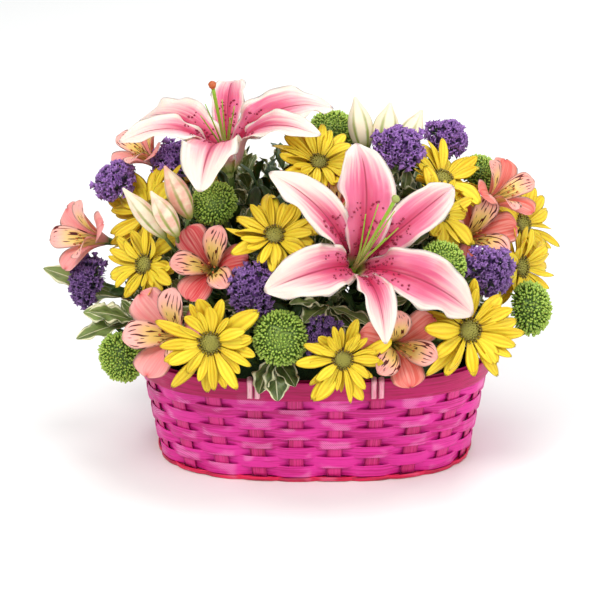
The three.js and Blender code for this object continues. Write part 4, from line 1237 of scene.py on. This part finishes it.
def make_statice():
    domes, papery, brush = dome_tree(), Maker(), Maker()
    funnel = [[-3, 0.35], [0, 0.8], [2.8, 1.7], [5.0, 2.7], [4.5, 2.2], [1.8, 0.6], [1.3, 0.25]]
    papery.flare(funnel, sides=10, lobes=0.38)
    floret = papery.build("papery floret", statice_purple())

    def sliver(along, across):
        half = 0.75 * smooth([0.6, 1.0, 0.7, 0.15], along)
        return np.stack([half * across, 0.8 * along**2 + 0.2 * across**2, 8.0 * along], -1)

    brush.sheet(sliver, rows=6, columns=4, thickness=0.25)
    bract = brush.build("bract", statice_green())
    count = settings().blooms.statice_florets
    upper = dict(lowest=2.0, middle=0.9, lump=0.2, lean=0.65, least=0.75, count=count)
    lower = dict(lowest=2.85, middle=0.7, lump=0.1, lean=0.3, most=1.3, count=110)

    def parts_of(head, matrix):
        core, shared = Maker(), dict(long=head.long, phase=float(head.seed), seed=head.seed, lobes=1.0)
        core.dome(9.5, 7.0, 2.5, tone=0.0, matrix=matrix @ Matrix.Diagonal((head.long, 1, 1, 1)))
        papers = covered(domes, floret, statice_purple(), matrix, 13.4, 9.6, **shared, **upper)
        bracts = covered(domes, bract, statice_green(), matrix, 8.4, 4.0, **shared, **lower)
        return [core.build("core", statice_purple()), papers, bracts]

    make_blooms(STATICE, "statice", parts_of, neck=24, radius=1.6)
    discard(floret, bract)


# ---------------------------------------------------------------- alstroemeria
# The spine, as [out, up], and the half widths of an outer and of an inner petal.
ALSTROEMERIA = (
    ([[2, -3], [6, 9], [11, 17], [18, 22.5], [25, 25.5], [30, 26]], [1.8, 5.0, 8.8, 11.6, 11.4, 8.2]),
    ([[1.5, -3], [4, 10], [7, 19], [12, 27], [18, 32], [25, 33.5]], [1.4, 3.8, 6.6, 8.8, 8.8, 5.8]),
)


def make_alstroemerias():
    lean = np.array([0, -5, 0])
    for name, heads in ALSTROEMERIAS.items():
        parts, bloom, stamens = [stem_piece(heads, 1.5, 18)], Maker(), Maker()
        for k, head in enumerate(heads):
            matrix, chance, throat = placing(head), spread(40, 11 + len(name) + k), Maker()
            for j in range(6):
                inner, bend, wave = j % 2, chance[j] - 0.5, chance[j + 6] * TURN
                spine, widths = ALSTROEMERIA[inner]

                def surface(along, across):
                    place = smooth(spine, along) + bend * along[..., None] ** 2 * [2.0, -3.0]
                    half = smooth(widths, along) * rounded_end(along, 0.8, 0.18)
                    cup = 0.14 * half * across**2 - 0.5 * ridge(across, 0.2) * hump(along)
                    notch = 1.6 * ridge(across, 0.25) * along**10 * (1 - inner)
                    ruffle = 0.5 * np.sin(along * 13 + wave + across * 2) * across**2 * along
                    x, z = place[..., 0] - notch - 0.5 * cup, place[..., 1] + cup + ruffle
                    return np.stack([x, half * across, z], -1)

                own = matrix @ Matrix.Rotation(TURN * j / 6 + 0.12 * bend, 4, "Z")
                tone = 0.5 + 0.5 * chance[j + 12] if inner else 0.48 * chance[j + 12]
                bloom.sheet(surface, rows=20, columns=9, thickness=0.4, tone=tone, matrix=own, bunch=0.9)
                out = spoke(TURN * (j + 0.3) / 6)
                tip = out * 4.5 + lean + [0, 0, 24 + 4 * chance[j + 20]]
                path = [out * 0.8, out * 2 + [0, 0, 10], out * 3.2 + lean * 0.4 + [0, 0, 18], tip]
                stamens.tube(path, 0.35, sides=5, steps=3, tone=0.3, matrix=matrix)
                anther = [tip - [0, 0, 0.9], tip + [0, 0, 0.9]]
                stamens.tube(anther, 0.75, sides=5, tone=0.9, matrix=matrix)
            path = [(0, 0, z) for z in (-9, -6, -1, 3)]
            throat.tube(path, [1.5, 2.6, 3.2, 2.2], sides=10, steps=2, matrix=matrix)
            parts.append(throat.build("throat", stem_green()))
        parts += [bloom.build("petals", alstroemeria_petal()), stamens.build("stamens", lily_stigma())]
        piece = joined(name + "_bloom", parts, "alstroemeria", name)
        hue = getattr(settings().blooms, "alstroemeria_" + ALSTROEMERIA_HUES.get(name, "pink"))
        colours = piece.data.attributes.new("hue", "FLOAT_COLOR", "POINT")
        colours.data.foreach_set("color", np.tile([*hue, 1.0], len(piece.data.vertices)))


# ---------------------------------------------------------------- lilies
# The spine, as [out, up], the half widths and how much the edges are ruffled.
LILY = {
    "petal": (
        [[3, 0], [8, 20], [20, 38], [42, 48], [66, 46], [88, 34]], [2.6, 8, 16, 21, 17, 9], 1.0,
    ),
    "sepal": (
        [[3, -1], [11, 18], [24, 34], [45, 43], [67, 41], [88, 29]], [2.6, 6, 11, 14, 12, 6.5], 0.55,
    ),
}


def tepal_surface(kind, degrees, phase):
    """The upper face of a lily petal or sepal, opened by some degrees from its second point on."""
    spine, widths, ruffle = LILY[kind]
    spine, angle = np.array(spine, float), math.radians(degrees)
    c, s = math.cos(angle), math.sin(angle)
    spine[2:] = spine[1] + (spine[2:] - spine[1]) @ [[c, -s], [s, c]]

    def surface(along, across):
        place, half = smooth(spine, along), smooth(widths, along) * rounded_end(along, 0.8, 0.16)
        ahead, edge = unit(smooth(spine, along + 0.01) - smooth(spine, along - 0.01)), abs(across) ** 2.6
        wave = np.sin(along * 24 + phase + across * 1.3)
        wave = wave + 0.5 * np.sin(along * 41 + phase * 2 - across * 2)
        raised = ruffle * (3.1 * edge * wave * hump(along, 0.7) + 3.2 * across**2 * hump(along))
        raised = raised - 2.2 * ridge(across, 0.13) * hump(along, 0.6)
        x, z = place[..., 0] - ahead[..., 1] * raised, place[..., 1] + ahead[..., 0] * raised
        return np.stack([x, half * across * (1 - 0.06 * edge * wave), z], -1)

    return surface


def freckle(spots, surface, chances, matrix):
    """Adds small raised spots to the lower half of a petal, beside its groove."""
    for along, across, girth in chances:
        along, across = 0.16 + 0.4 * along**1.3, (across * 2 - 1) * 0.6
        if abs(across) < 0.1:
            continue
        near = (along, across), (along + 0.01, across), (along, across + 0.02)
        base, ahead, beside = (surface(np.array([[a]]), np.array([[b]]))[0, 0] for a, b in near)
        normal = unit(np.cross(ahead - base, beside - base))
        high, radius = 0.5 + 0.7 * girth, 0.55 + 0.6 * girth
        path = [base - normal * 0.2, base + normal * high * 0.6, base + normal * high]
        spots.tube(path, [radius, radius * 0.8, radius * 0.25], sides=5, matrix=matrix)


def make_lilies():
    for name, (head, tip, pale, tepals) in LILIES.items():
        matrix, chance, tip = placing(head), spread((6, 64, 3), 21), np.array(tip, float)
        petals, spots, green, knob, threads = (Maker() for _ in range(5))
        for k, (kind, turn, degrees, size) in enumerate(tepals):
            own = matrix @ about_z(turn) @ Matrix.Scale(size, 4)
            surface = tepal_surface(kind, degrees, k * 1.7)
            detail = dict(rows=44, columns=17, thickness=0.7, bunch=0.95)
            petals.sheet(surface, tone=pale + k / 8, matrix=own, **detail)
            freckle(spots, surface, chance[k], own)
        parts = [petals.build("petals", lily_petal_skin()), spots.build("spots", lily_spots())]
        joined(f"lily_{name}_bloom", parts, "lily_petal", f"lily_{name}_petals")

        bend = tip / 2 + [0, 0, 6]
        beyond = unit(tip - bend)
        path = [(0, 0, 5), bend * 0.5 + [0, 0, 4], bend, tip]
        green.tube(path, [1.5, 1.15, 1.05, 1.3], sides=12, steps=6, matrix=matrix)
        path, tone = [tip + beyond * far for far in (-1.2, 0.6, 2.6, 4.2)], float(name == "top")
        knob.tube(path, [1.3, 2.5, 2.9, 1.5], sides=9, steps=3, tone=tone, matrix=matrix)
        path = [(0, 0, -6), (0, 0, 0), (0, 0, 8)]
        green.tube(path, [2.0, 3.2, 2.2], sides=12, steps=3, matrix=matrix)
        for j in range(6):
            out = spoke((j + 0.5) / 6 * TURN)
            knee = out * 3 + tip * [0.16, 0.16, 0] + [0, 0, 26]
            path = [out * 0.6 + [0, 0, 4], knee, out * 12 + tip * 0.72]
            threads.tube(path, [1.0, 0.7, 0.35], sides=8, steps=8, matrix=matrix)
        parts = [stem_piece([head], radius=2.2, neck=22), green.build("style", lily_style())]
        parts += [knob.build("knob", lily_stigma()), threads.build("threads", lily_style())]
        joined(f"lily_{name}_heart", parts, "lily_green", f"lily_{name}_stem")


def make_buds():
    along, rib = np.linspace(0, 1, 22)[:, None], np.cos(np.arange(24) * TURN / 24 * 3) ** 2
    profile = smooth([0.14, 0.34, 0.46, 0.5, 0.47, 0.36, 0.19, 0.05], along) * (1 + 0.07 * (rib - 0.5))
    for name, (neck, blush, buds) in BUD_CLUSTERS.items():
        stalks, skins, neck = Maker(), Maker(), Vector(neck)
        stalks.tube(bent([foot_of(neck), neck]), 2)
        for k, (base, tip, girth) in enumerate(buds):
            base, tip = Vector(base), Vector(tip)
            path = [neck - (base - neck) * 0.06, neck.lerp(base, 0.6), base.lerp(tip, 0.05)]
            stalks.tube(bent(path, step=6), 1.3)
            matrix = Matrix.Translation(base) @ (tip - base).to_track_quat("Z", "X").to_matrix().to_4x4()
            rings = hoops(BUD_FULLNESS * girth * profile, (tip - base).length * along, len(rib))
            skins.skin(rings, along[:, 0], blush + k / 3, matrix)
        skin, ribs = skins.build("buds", bud_skin()), np.tile(rib, len(along) * len(buds))
        skin.data.attributes.new("rib", "FLOAT", "POINT").data.foreach_set("value", ribs)
        joined(name + "_cluster", [skin, stalks.build("stalks", stem_green())], "lily_bud", name)


# ---------------------------------------------------------------- foliage
def leaf_surface(length, half, wave, phase, droop):
    """The upper face of a leaf that lies along +X from its root."""

    def surface(along, across):
        width = half * smooth([0.1, 0.5, 0.92, 1.0, 0.8, 0.42], along) * rounded_end(along, 0.75, 0.14)
        edge = across**2
        ripple = wave * edge * np.sin(along * 17 + phase + across * 2) - 0.5 * ridge(across, 0.12)
        lift = 2.2 * np.sin(math.pi * along * 0.9) - droop * along**2 + 0.12 * width * edge
        scallop = 1 + 0.05 * wave * edge * np.sin(along * 26 + phase)
        return np.stack([length * along, width * across * scallop, lift + ripple * hump(along)], -1)

    return surface


def make_foliage():
    for name, (neck, pale, blades) in FOLIAGE.items():
        twig, leaves, neck, chance = Maker(), Maker(), Vector(neck), spread(20, len(name))
        twig.tube(bent([foot_of(neck), neck]), 1.5)
        for k, (tip, width, roll) in enumerate(blades):
            way = Vector(tip) - neck
            along = way.normalized()
            side = Vector((0, 0, 1)).cross(along).normalized()
            basis = Matrix((along, side, along.cross(side))).transposed().to_4x4()
            own = Matrix.Translation(neck) @ basis @ Matrix.Rotation(math.radians(roll), 4, "X")
            surface = leaf_surface(way.length, width * LEAF_FULLNESS, 2.2, k * 2.0, 1.0)
            detail = dict(rows=26, columns=11, thickness=0.5, bunch=0.9)
            # pale lightens every leaf of the spray above 0 and darkens it below 0, as painted light and
            # shade.
            leaves.sheet(surface, tone=chance[k] + pale, matrix=own, **detail)
        parts = [twig.build("twig", twig_bark()), leaves.build("leaves", variegated_leaf())]
        joined(name + "_spray", parts, "foliage", name)


def small_leaves(name, shapes, wave, rows, columns, material):
    """A few unlike leaves, from the length, half width and droop of each."""
    made = []
    for k, (length, half, droop) in enumerate(shapes):
        leaf = Maker()
        leaf.sheet(leaf_surface(length, half, wave, k * 2.0, droop), rows, columns, 0.45, bunch=0.9)
        made.append(leaf.build(f"{name}_{k}", material))
    return gathered(name, made)


def head_places():
    """The middle and the reach of every bloom, which the filler twigs keep clear of."""
    places = [(Vector(head.at) + facing(head) * 30, 46) for head, *_ in LILIES.values()]
    kinds = (DAISIES, 26, 3), (BUTTONS, 22, 3), (STATICE, 22, 3), (ALSTROEMERIAS, 22, 16)
    for table, reach, ahead in kinds:
        for heads in table.values():
            places += [(Vector(head.at) + facing(head) * ahead, reach * head.size) for head in heads]
    return places


def filler_ways(count):
    """The points of each twig, up to where it would meet a bloom, by the side it is on and its kind."""
    places, ways, chance = head_places(), {}, spread((count, 4), 17)
    for i in range(count):
        turn, rise = i * GOLDEN_ANGLE, math.asin(1 - 0.99 * (i + 0.5) / count)
        wide = math.cos(rise) ** 0.7
        x, y, z = CROWN.reach
        aim = Vector((math.cos(turn) * wide * x, math.sin(turn) * wide * y, math.sin(rise) * z))
        tip = Vector(CROWN.middle) + aim * (0.86 + 0.14 * chance[i, 0])
        if tip.z < 98 and tip.y < -30:
            continue
        root = foot_of(tip)
        way = bent([root, root.lerp(tip, 0.5) + Vector((0, 0, 8 * chance[i, 1])), tip], 8)
        clear = [p for p in way if all((Vector(p) - at).length > reach + 3 for at, reach in places)]
        if len(clear) > 4:
            side = ("back_" if tip.y > 12 else "") + ("left" if tip.x < 0 else "right")
            kind = "sprigs" if chance[i, 2] > 0.5 else "greens"
            ways.setdefault((side, kind), []).append(way[: len(clear)])
    return sorted(ways.items())


def make_filler():
    narrow = [(23, 4.6, 1.5), (19, 4.2, -1.0), (26, 5.2, 3.0)]
    broad = [(19, 5.4, 2.0), (15, 4.8, -1.0), (21, 5.8, 4.0)]
    dark = small_leaves("dark leaf", narrow, 0.5, 10, 5, dark_leaf())
    pale = small_leaves("pale leaf", broad, 1.5, 14, 7, variegated_leaf())
    kinds = {
        "greens": dict(leaves=dark, material=dark_leaf(), spacing=6.5 * MM, start=0.28, angle=0.95),
        "sprigs": dict(leaves=pale, material=variegated_leaf(), spacing=4.0 * MM, start=0.62, angle=1.1),
    }
    group, parts = twig_tree(), {}
    for (side, kind), twigs in filler_ways(settings().greens.twigs):
        host, stalks = bpy.data.meshes.new("twigs"), Maker()
        ends = np.cumsum([0, *map(len, twigs)]).tolist()
        edges = [(k, k + 1) for start, end in zip(ends, ends[1:]) for k in range(start, end - 1)]
        host.from_pydata((np.concatenate(twigs) * MM).tolist(), edges, [])
        values = dict(spread=0.25, least=0.75, most=1.1, seed=len(side), **kinds[kind])
        leafy = grow("leafy", group, host, **values)
        for way in twigs:
            stalks.tube(way, np.linspace(1.1, 0.5, len(way)), sides=6)
        parts.setdefault(side, []).extend([leafy, stalks.build("stalks", stem_green())])
    for side, pieces in parts.items():
        joined(f"filler_greens_{side}", pieces, "foliage")
    discard(*dark.objects, *pale.objects)


# ---------------------------------------------------------------- stage
def aimed(name, data, place, aim):
    source = linked(name, data)
    source.location = place
    source.rotation_euler = (Vector(aim) - Vector(place)).to_track_quat("-Z", "Y").to_euler()
    return source


def lamp(name, place, size, watts, tint=(1.0, 1.0, 1.0)):
    light = bpy.data.lights.new(name, "AREA")
    light.shape, light.size, light.energy, light.color = "DISK", size, watts, tint
    aimed(name, light, place, (0, 0, 0.12))


def make_stage():
    scene, look = bpy.context.scene, settings().stage
    scene.view_settings.view_transform = "Standard"
    tree, size = Finish("pale floor", Roughness=0.8, Specular_IOR_Level=0.2), look.floor_size
    tree.colour = (*look.floor, 1.0)
    mesh = bpy.data.meshes.new("floor")
    corners = [(-size, -size, 0), (size, -size, 0), (size, size, 0), (-size, size, 0)]
    mesh.from_pydata(corners, [], [(0, 1, 2, 3)])
    mesh.materials.append(tree.done())
    linked("floor", mesh)

    world = bpy.data.worlds.new("soft room")
    world.use_nodes = True
    background = world.node_tree.nodes["Background"].inputs
    background["Color"].default_value = (0.95, 0.97, 1.0, 1.0)
    background["Strength"].default_value = look.room_light
    scene.world = world
    lamp("key", (-0.9, -1.3, 1.7), 0.9, look.key_light, (1.0, 0.98, 0.95))
    lamp("fill", (1.4, -1.0, 0.9), 1.2, look.key_light * 0.52)
    lamp("rim", (0.5, 1.5, 1.5), 1.0, look.key_light * 0.4)
    lamp("top", (0.3, -0.25, 2.1), 1.0, look.key_light * 0.55)

    camera, low = bpy.data.cameras.new("camera"), look.camera_height
    aim = Vector((-10.8 * MM, 0, 108.3 * MM))
    camera.sensor_width, camera.lens = 36.0, look.lens
    place = aim + Vector((0, -math.cos(low), math.sin(low))) * look.camera_distance
    scene.camera = aimed("camera", camera, place, aim)


# ---------------------------------------------------------------- settings
def colour(name, description, *values):
    """A setting for a colour, given as display values from 0 to 255."""
    return FloatVectorProperty(
        name=name, description=description, default=shown(*values), subtype="COLOR", min=0.0, max=1.0
    )


class BasketLook(bpy.types.PropertyGroup):
    """Sizes and dyes of the basket."""

    stakes: IntProperty(
        name="Stakes", description="Uprights that the splints pass", default=24, min=8, max=48
    )
    strip_bulge: FloatProperty(
        name="Bulge", description="How much wider a splint looks in front of a stake",
        default=0.13, subtype="FACTOR",
    )
    cane_deep: colour("Splint, deep", "Darker dye of the woven splints", 186, 14, 110)
    cane_light: colour("Splint, light", "Lighter dye of the woven splints", 224, 44, 154)
    worn: colour("Worn", "Where the dye has rubbed off", 240, 160, 206)
    stake_deep: colour("Stake, deep", "Darker dye of the stakes", 172, 10, 84)
    stake_light: colour("Stake, light", "Lighter dye of the stakes", 214, 40, 130)
    # Darker than the splints, partly a redder dye and partly painted shade from the blooms over the rim.
    rim_deep: colour("Rim, deep", "Darker dye of the rim bands", 158, 8, 72)
    rim_light: colour("Rim, light", "Lighter dye of the rim bands", 188, 18, 98)
    foot_deep: colour("Foot, deep", "Darker dye of the foot", 160, 14, 56)
    foot_light: colour("Foot, light", "Lighter dye of the foot", 222, 14, 78)
    tie_deep: colour("Tie, deep", "Darker parts of the ties", 238, 130, 160)
    tie_light: colour("Tie, light", "Lighter parts of the ties", 255, 196, 208)


class BloomLook(bpy.types.PropertyGroup):
    """Counts and colours of the blooms."""

    daisy_petals: IntProperty(
        name="Daisy petals", description="Petals in the upper row", default=14, min=5, max=24
    )
    button_florets: IntProperty(
        name="Button florets", description="Florets of a button", default=620, min=50, max=900
    )
    statice_florets: IntProperty(
        name="Statice florets", description="Florets of a head", default=115, min=20, max=300
    )
    daisy_light: colour("Daisy, light", "Lighter yellow of the petals", 240, 211, 52)
    # Deeper yellow of the petals, also the painted shade in their grooves.
    daisy_deep: colour("Daisy, deep", "Deeper yellow of the petals", 220, 172, 28)
    # Painted shade by the disc and on the undersides of the petals.
    daisy_root: colour("Daisy, root", "Petals by the disc and underneath", 156, 118, 18)
    disc_middle: colour("Disc, middle", "Middle of a daisy's disc", 158, 152, 62)
    disc_edge: colour("Disc, edge", "Open florets round the disc", 104, 66, 34)
    # Painted shade between the florets of the disc.
    disc_deep: colour("Disc, deep", "Between the florets of the disc", 66, 46, 18)
    button_green: colour("Button, green", "Most florets of a button", 134, 168, 56)
    button_light: colour("Button, light", "Palest florets of a button", 180, 206, 88)
    # Painted shade between the florets of a button.
    button_deep: colour("Button, deep", "Between the florets", 90, 120, 42)
    statice_purple: colour("Statice, purple", "Most florets of the statice", 124, 68, 158)
    statice_light: colour("Statice, light", "Lighter florets of the statice", 188, 140, 214)
    # Painted shade inside and under the florets and on the lower heads.
    statice_deep: colour("Statice, deep", "Inside and under the florets", 48, 18, 74)
    alstroemeria_pink: colour("Alstroemeria, pink", "Most alstroemerias", 236, 140, 140)
    alstroemeria_coral: colour("Alstroemeria, coral", "Redder alstroemerias", 208, 58, 64)
    alstroemeria_peach: colour("Alstroemeria, peach", "Alstroemerias on the right", 214, 90, 76)
    alstroemeria_pale: colour("Alstroemeria, pale", "Edges and streaks", 248, 190, 176)
    alstroemeria_gold: colour("Alstroemeria, gold", "Inner petals", 240, 212, 110)
    lily_pink: colour("Lily, pink", "Blades of the lily petals", 212, 98, 132)
    lily_deep: colour("Lily, deep", "Along the middle of the petals", 180, 20, 72)
    lily_cream: colour("Lily, cream", "Edges of the petals", 234, 214, 200)
    lily_vein: colour("Lily, vein", "The line along a petal's middle", 140, 14, 50)
    bud_cream: colour("Bud, cream", "Closed buds", 236, 222, 194)
    bud_blush: colour("Bud, blush", "Pink on the buds", 232, 156, 140)
    bud_green: colour("Bud, green", "Ribs and roots of the buds", 134, 150, 54)


class GreensLook(bpy.types.PropertyGroup):
    """Number and colours of the leaves."""

    twigs: IntProperty(
        name="Twigs", description="Filler twigs before any are left out", default=240, min=10, max=400
    )
    leaf_deep: colour("Leaf, deep", "Darker parts of the broad leaves", 62, 78, 34)
    leaf_light: colour("Leaf, light", "Lighter parts of the broad leaves", 128, 146, 78)
    leaf_edge: colour("Leaf, edge", "Pale borders of the broad leaves", 236, 232, 190)
    filler_deep: colour("Filler, deep", "Darker parts of the small leaves", 26, 46, 22)
    filler_light: colour("Filler, light", "Lighter parts of the small leaves", 62, 92, 40)


class StageLook(bpy.types.PropertyGroup):
    """Floor, lights and camera."""

    floor: colour("Floor", "Colour of the floor", 244, 244, 242)
    floor_size: FloatProperty(
        name="Floor size", description="Half the floor's side", default=6.0, unit="LENGTH"
    )
    room_light: FloatProperty(
        name="Room light", description="Strength of the even light", default=0.6, min=0.0
    )
    key_light: FloatProperty(
        name="Key light", description="Power of the main lamp", default=25.5, unit="POWER"
    )
    lens: FloatProperty(name="Lens", description="Focal length in millimetres", default=150.0)
    camera_distance: FloatProperty(
        name="Distance", description="From camera to basket", default=1.8, unit="LENGTH"
    )
    camera_height: FloatProperty(
        name="Height", description="Angle above the floor", default=math.radians(20.5), subtype="ANGLE"
    )


class FlowerBasketLook(bpy.types.PropertyGroup):
    """Everything that can be changed about the arrangement."""

    basket: PointerProperty(type=BasketLook, name="Basket", description="Sizes and dyes of the basket")
    blooms: PointerProperty(
        type=BloomLook, name="Blooms", description="Counts and colours of the blooms"
    )
    greens: PointerProperty(
        type=GreensLook, name="Greens", description="Number and colours of the leaves"
    )
    stage: PointerProperty(type=StageLook, name="Stage", description="Floor, lights and camera")


# ---------------------------------------------------------------- operators
class FLOWERBASKET_OT_weavers(bpy.types.Operator):
    """Weave the eight splints of the wall"""

    bl_idname, bl_label = "flower_basket.weavers", "Woven Splints"

    def execute(self, context):
        make_weavers()
        return {"FINISHED"}


class FLOWERBASKET_OT_stakes(bpy.types.Operator):
    """Stand the stakes up round the woven base"""

    bl_idname, bl_label = "flower_basket.stakes", "Stakes and Base"

    def execute(self, context):
        make_stakes_and_base()
        return {"FINISHED"}


class FLOWERBASKET_OT_rim(bpy.types.Operator):
    """Bind the rim between two bands"""

    bl_idname, bl_label = "flower_basket.rim", "Rim Bands and Ties"

    def execute(self, context):
        make_rim()
        return {"FINISHED"}


class FLOWERBASKET_OT_filling(bpy.types.Operator):
    """Finish the liner and the block of foam"""

    bl_idname, bl_label = "flower_basket.filling", "Liner and Foam"

    def execute(self, context):
        dress("liner", liner_film())
        dress("foam_block", wet_foam())
        return {"FINISHED"}


class FLOWERBASKET_OT_daisies(bpy.types.Operator):
    """Grow the yellow daisies"""

    bl_idname, bl_label = "flower_basket.daisies", "Daisies"

    def execute(self, context):
        make_daisies()
        return {"FINISHED"}


class FLOWERBASKET_OT_buttons(bpy.types.Operator):
    """Grow the green buttons"""

    bl_idname, bl_label = "flower_basket.buttons", "Buttons"

    def execute(self, context):
        make_buttons()
        return {"FINISHED"}


class FLOWERBASKET_OT_statice(bpy.types.Operator):
    """Grow the purple statice"""

    bl_idname, bl_label = "flower_basket.statice", "Statice"

    def execute(self, context):
        make_statice()
        return {"FINISHED"}


class FLOWERBASKET_OT_alstroemerias(bpy.types.Operator):
    """Grow the pink alstroemerias"""

    bl_idname, bl_label = "flower_basket.alstroemerias", "Alstroemerias"

    def execute(self, context):
        make_alstroemerias()
        return {"FINISHED"}


class FLOWERBASKET_OT_lilies(bpy.types.Operator):
    """Open the two lilies"""

    bl_idname, bl_label = "flower_basket.lilies", "Lilies"

    def execute(self, context):
        make_lilies()
        return {"FINISHED"}


class FLOWERBASKET_OT_buds(bpy.types.Operator):
    """Grow the lily buds"""

    bl_idname, bl_label = "flower_basket.buds", "Lily Buds"

    def execute(self, context):
        make_buds()
        return {"FINISHED"}


class FLOWERBASKET_OT_foliage(bpy.types.Operator):
    """Grow the broad leaves with pale edges"""

    bl_idname, bl_label = "flower_basket.foliage", "Broad Leaves"

    def execute(self, context):
        make_foliage()
        return {"FINISHED"}


class FLOWERBASKET_OT_filler(bpy.types.Operator):
    """Fill the gaps between the blooms with leafy twigs"""

    bl_idname, bl_label = "flower_basket.filler", "Filler Greens"

    def execute(self, context):
        make_filler()
        return {"FINISHED"}


class FLOWERBASKET_OT_stage(bpy.types.Operator):
    """Set the floor, the lights and the camera"""

    bl_idname, bl_label = "flower_basket.stage", "Stage"

    def execute(self, context):
        make_stage()
        return {"FINISHED"}


STEPS = (
    FLOWERBASKET_OT_stage,
    FLOWERBASKET_OT_weavers,
    FLOWERBASKET_OT_stakes,
    FLOWERBASKET_OT_rim,
    FLOWERBASKET_OT_filling,
    FLOWERBASKET_OT_daisies,
    FLOWERBASKET_OT_buttons,
    FLOWERBASKET_OT_statice,
    FLOWERBASKET_OT_alstroemerias,
    FLOWERBASKET_OT_lilies,
    FLOWERBASKET_OT_buds,
    FLOWERBASKET_OT_foliage,
    FLOWERBASKET_OT_filler,
)


class FLOWERBASKET_PT_panel(bpy.types.Panel):
    """Lists the steps and the settings in the sidebar"""

    bl_label = "Flower Basket"
    bl_space_type, bl_region_type, bl_category = "VIEW_3D", "UI", "Flower basket"

    def draw(self, context):
        for step in STEPS:
            self.layout.operator(step.bl_idname)
        look = context.scene.flower_basket
        for part in (look.basket, look.blooms, look.greens, look.stage):
            box = self.layout.box()
            for key in part.__annotations__:
                box.prop(part, key)


CLASSES = (BasketLook, BloomLook, GreensLook, StageLook, FlowerBasketLook, *STEPS, FLOWERBASKET_PT_panel)


def register():
    for cls in CLASSES:
        bpy.utils.register_class(cls)
    bpy.types.Scene.flower_basket = PointerProperty(type=FlowerBasketLook)


def unregister():
    del bpy.types.Scene.flower_basket
    for cls in reversed(CLASSES):
        bpy.utils.unregister_class(cls)


def main():
    register()
    for step in STEPS:
        getattr(bpy.ops.flower_basket, step.bl_idname.split(".")[1])()


if __name__ == "__main__":
    main()
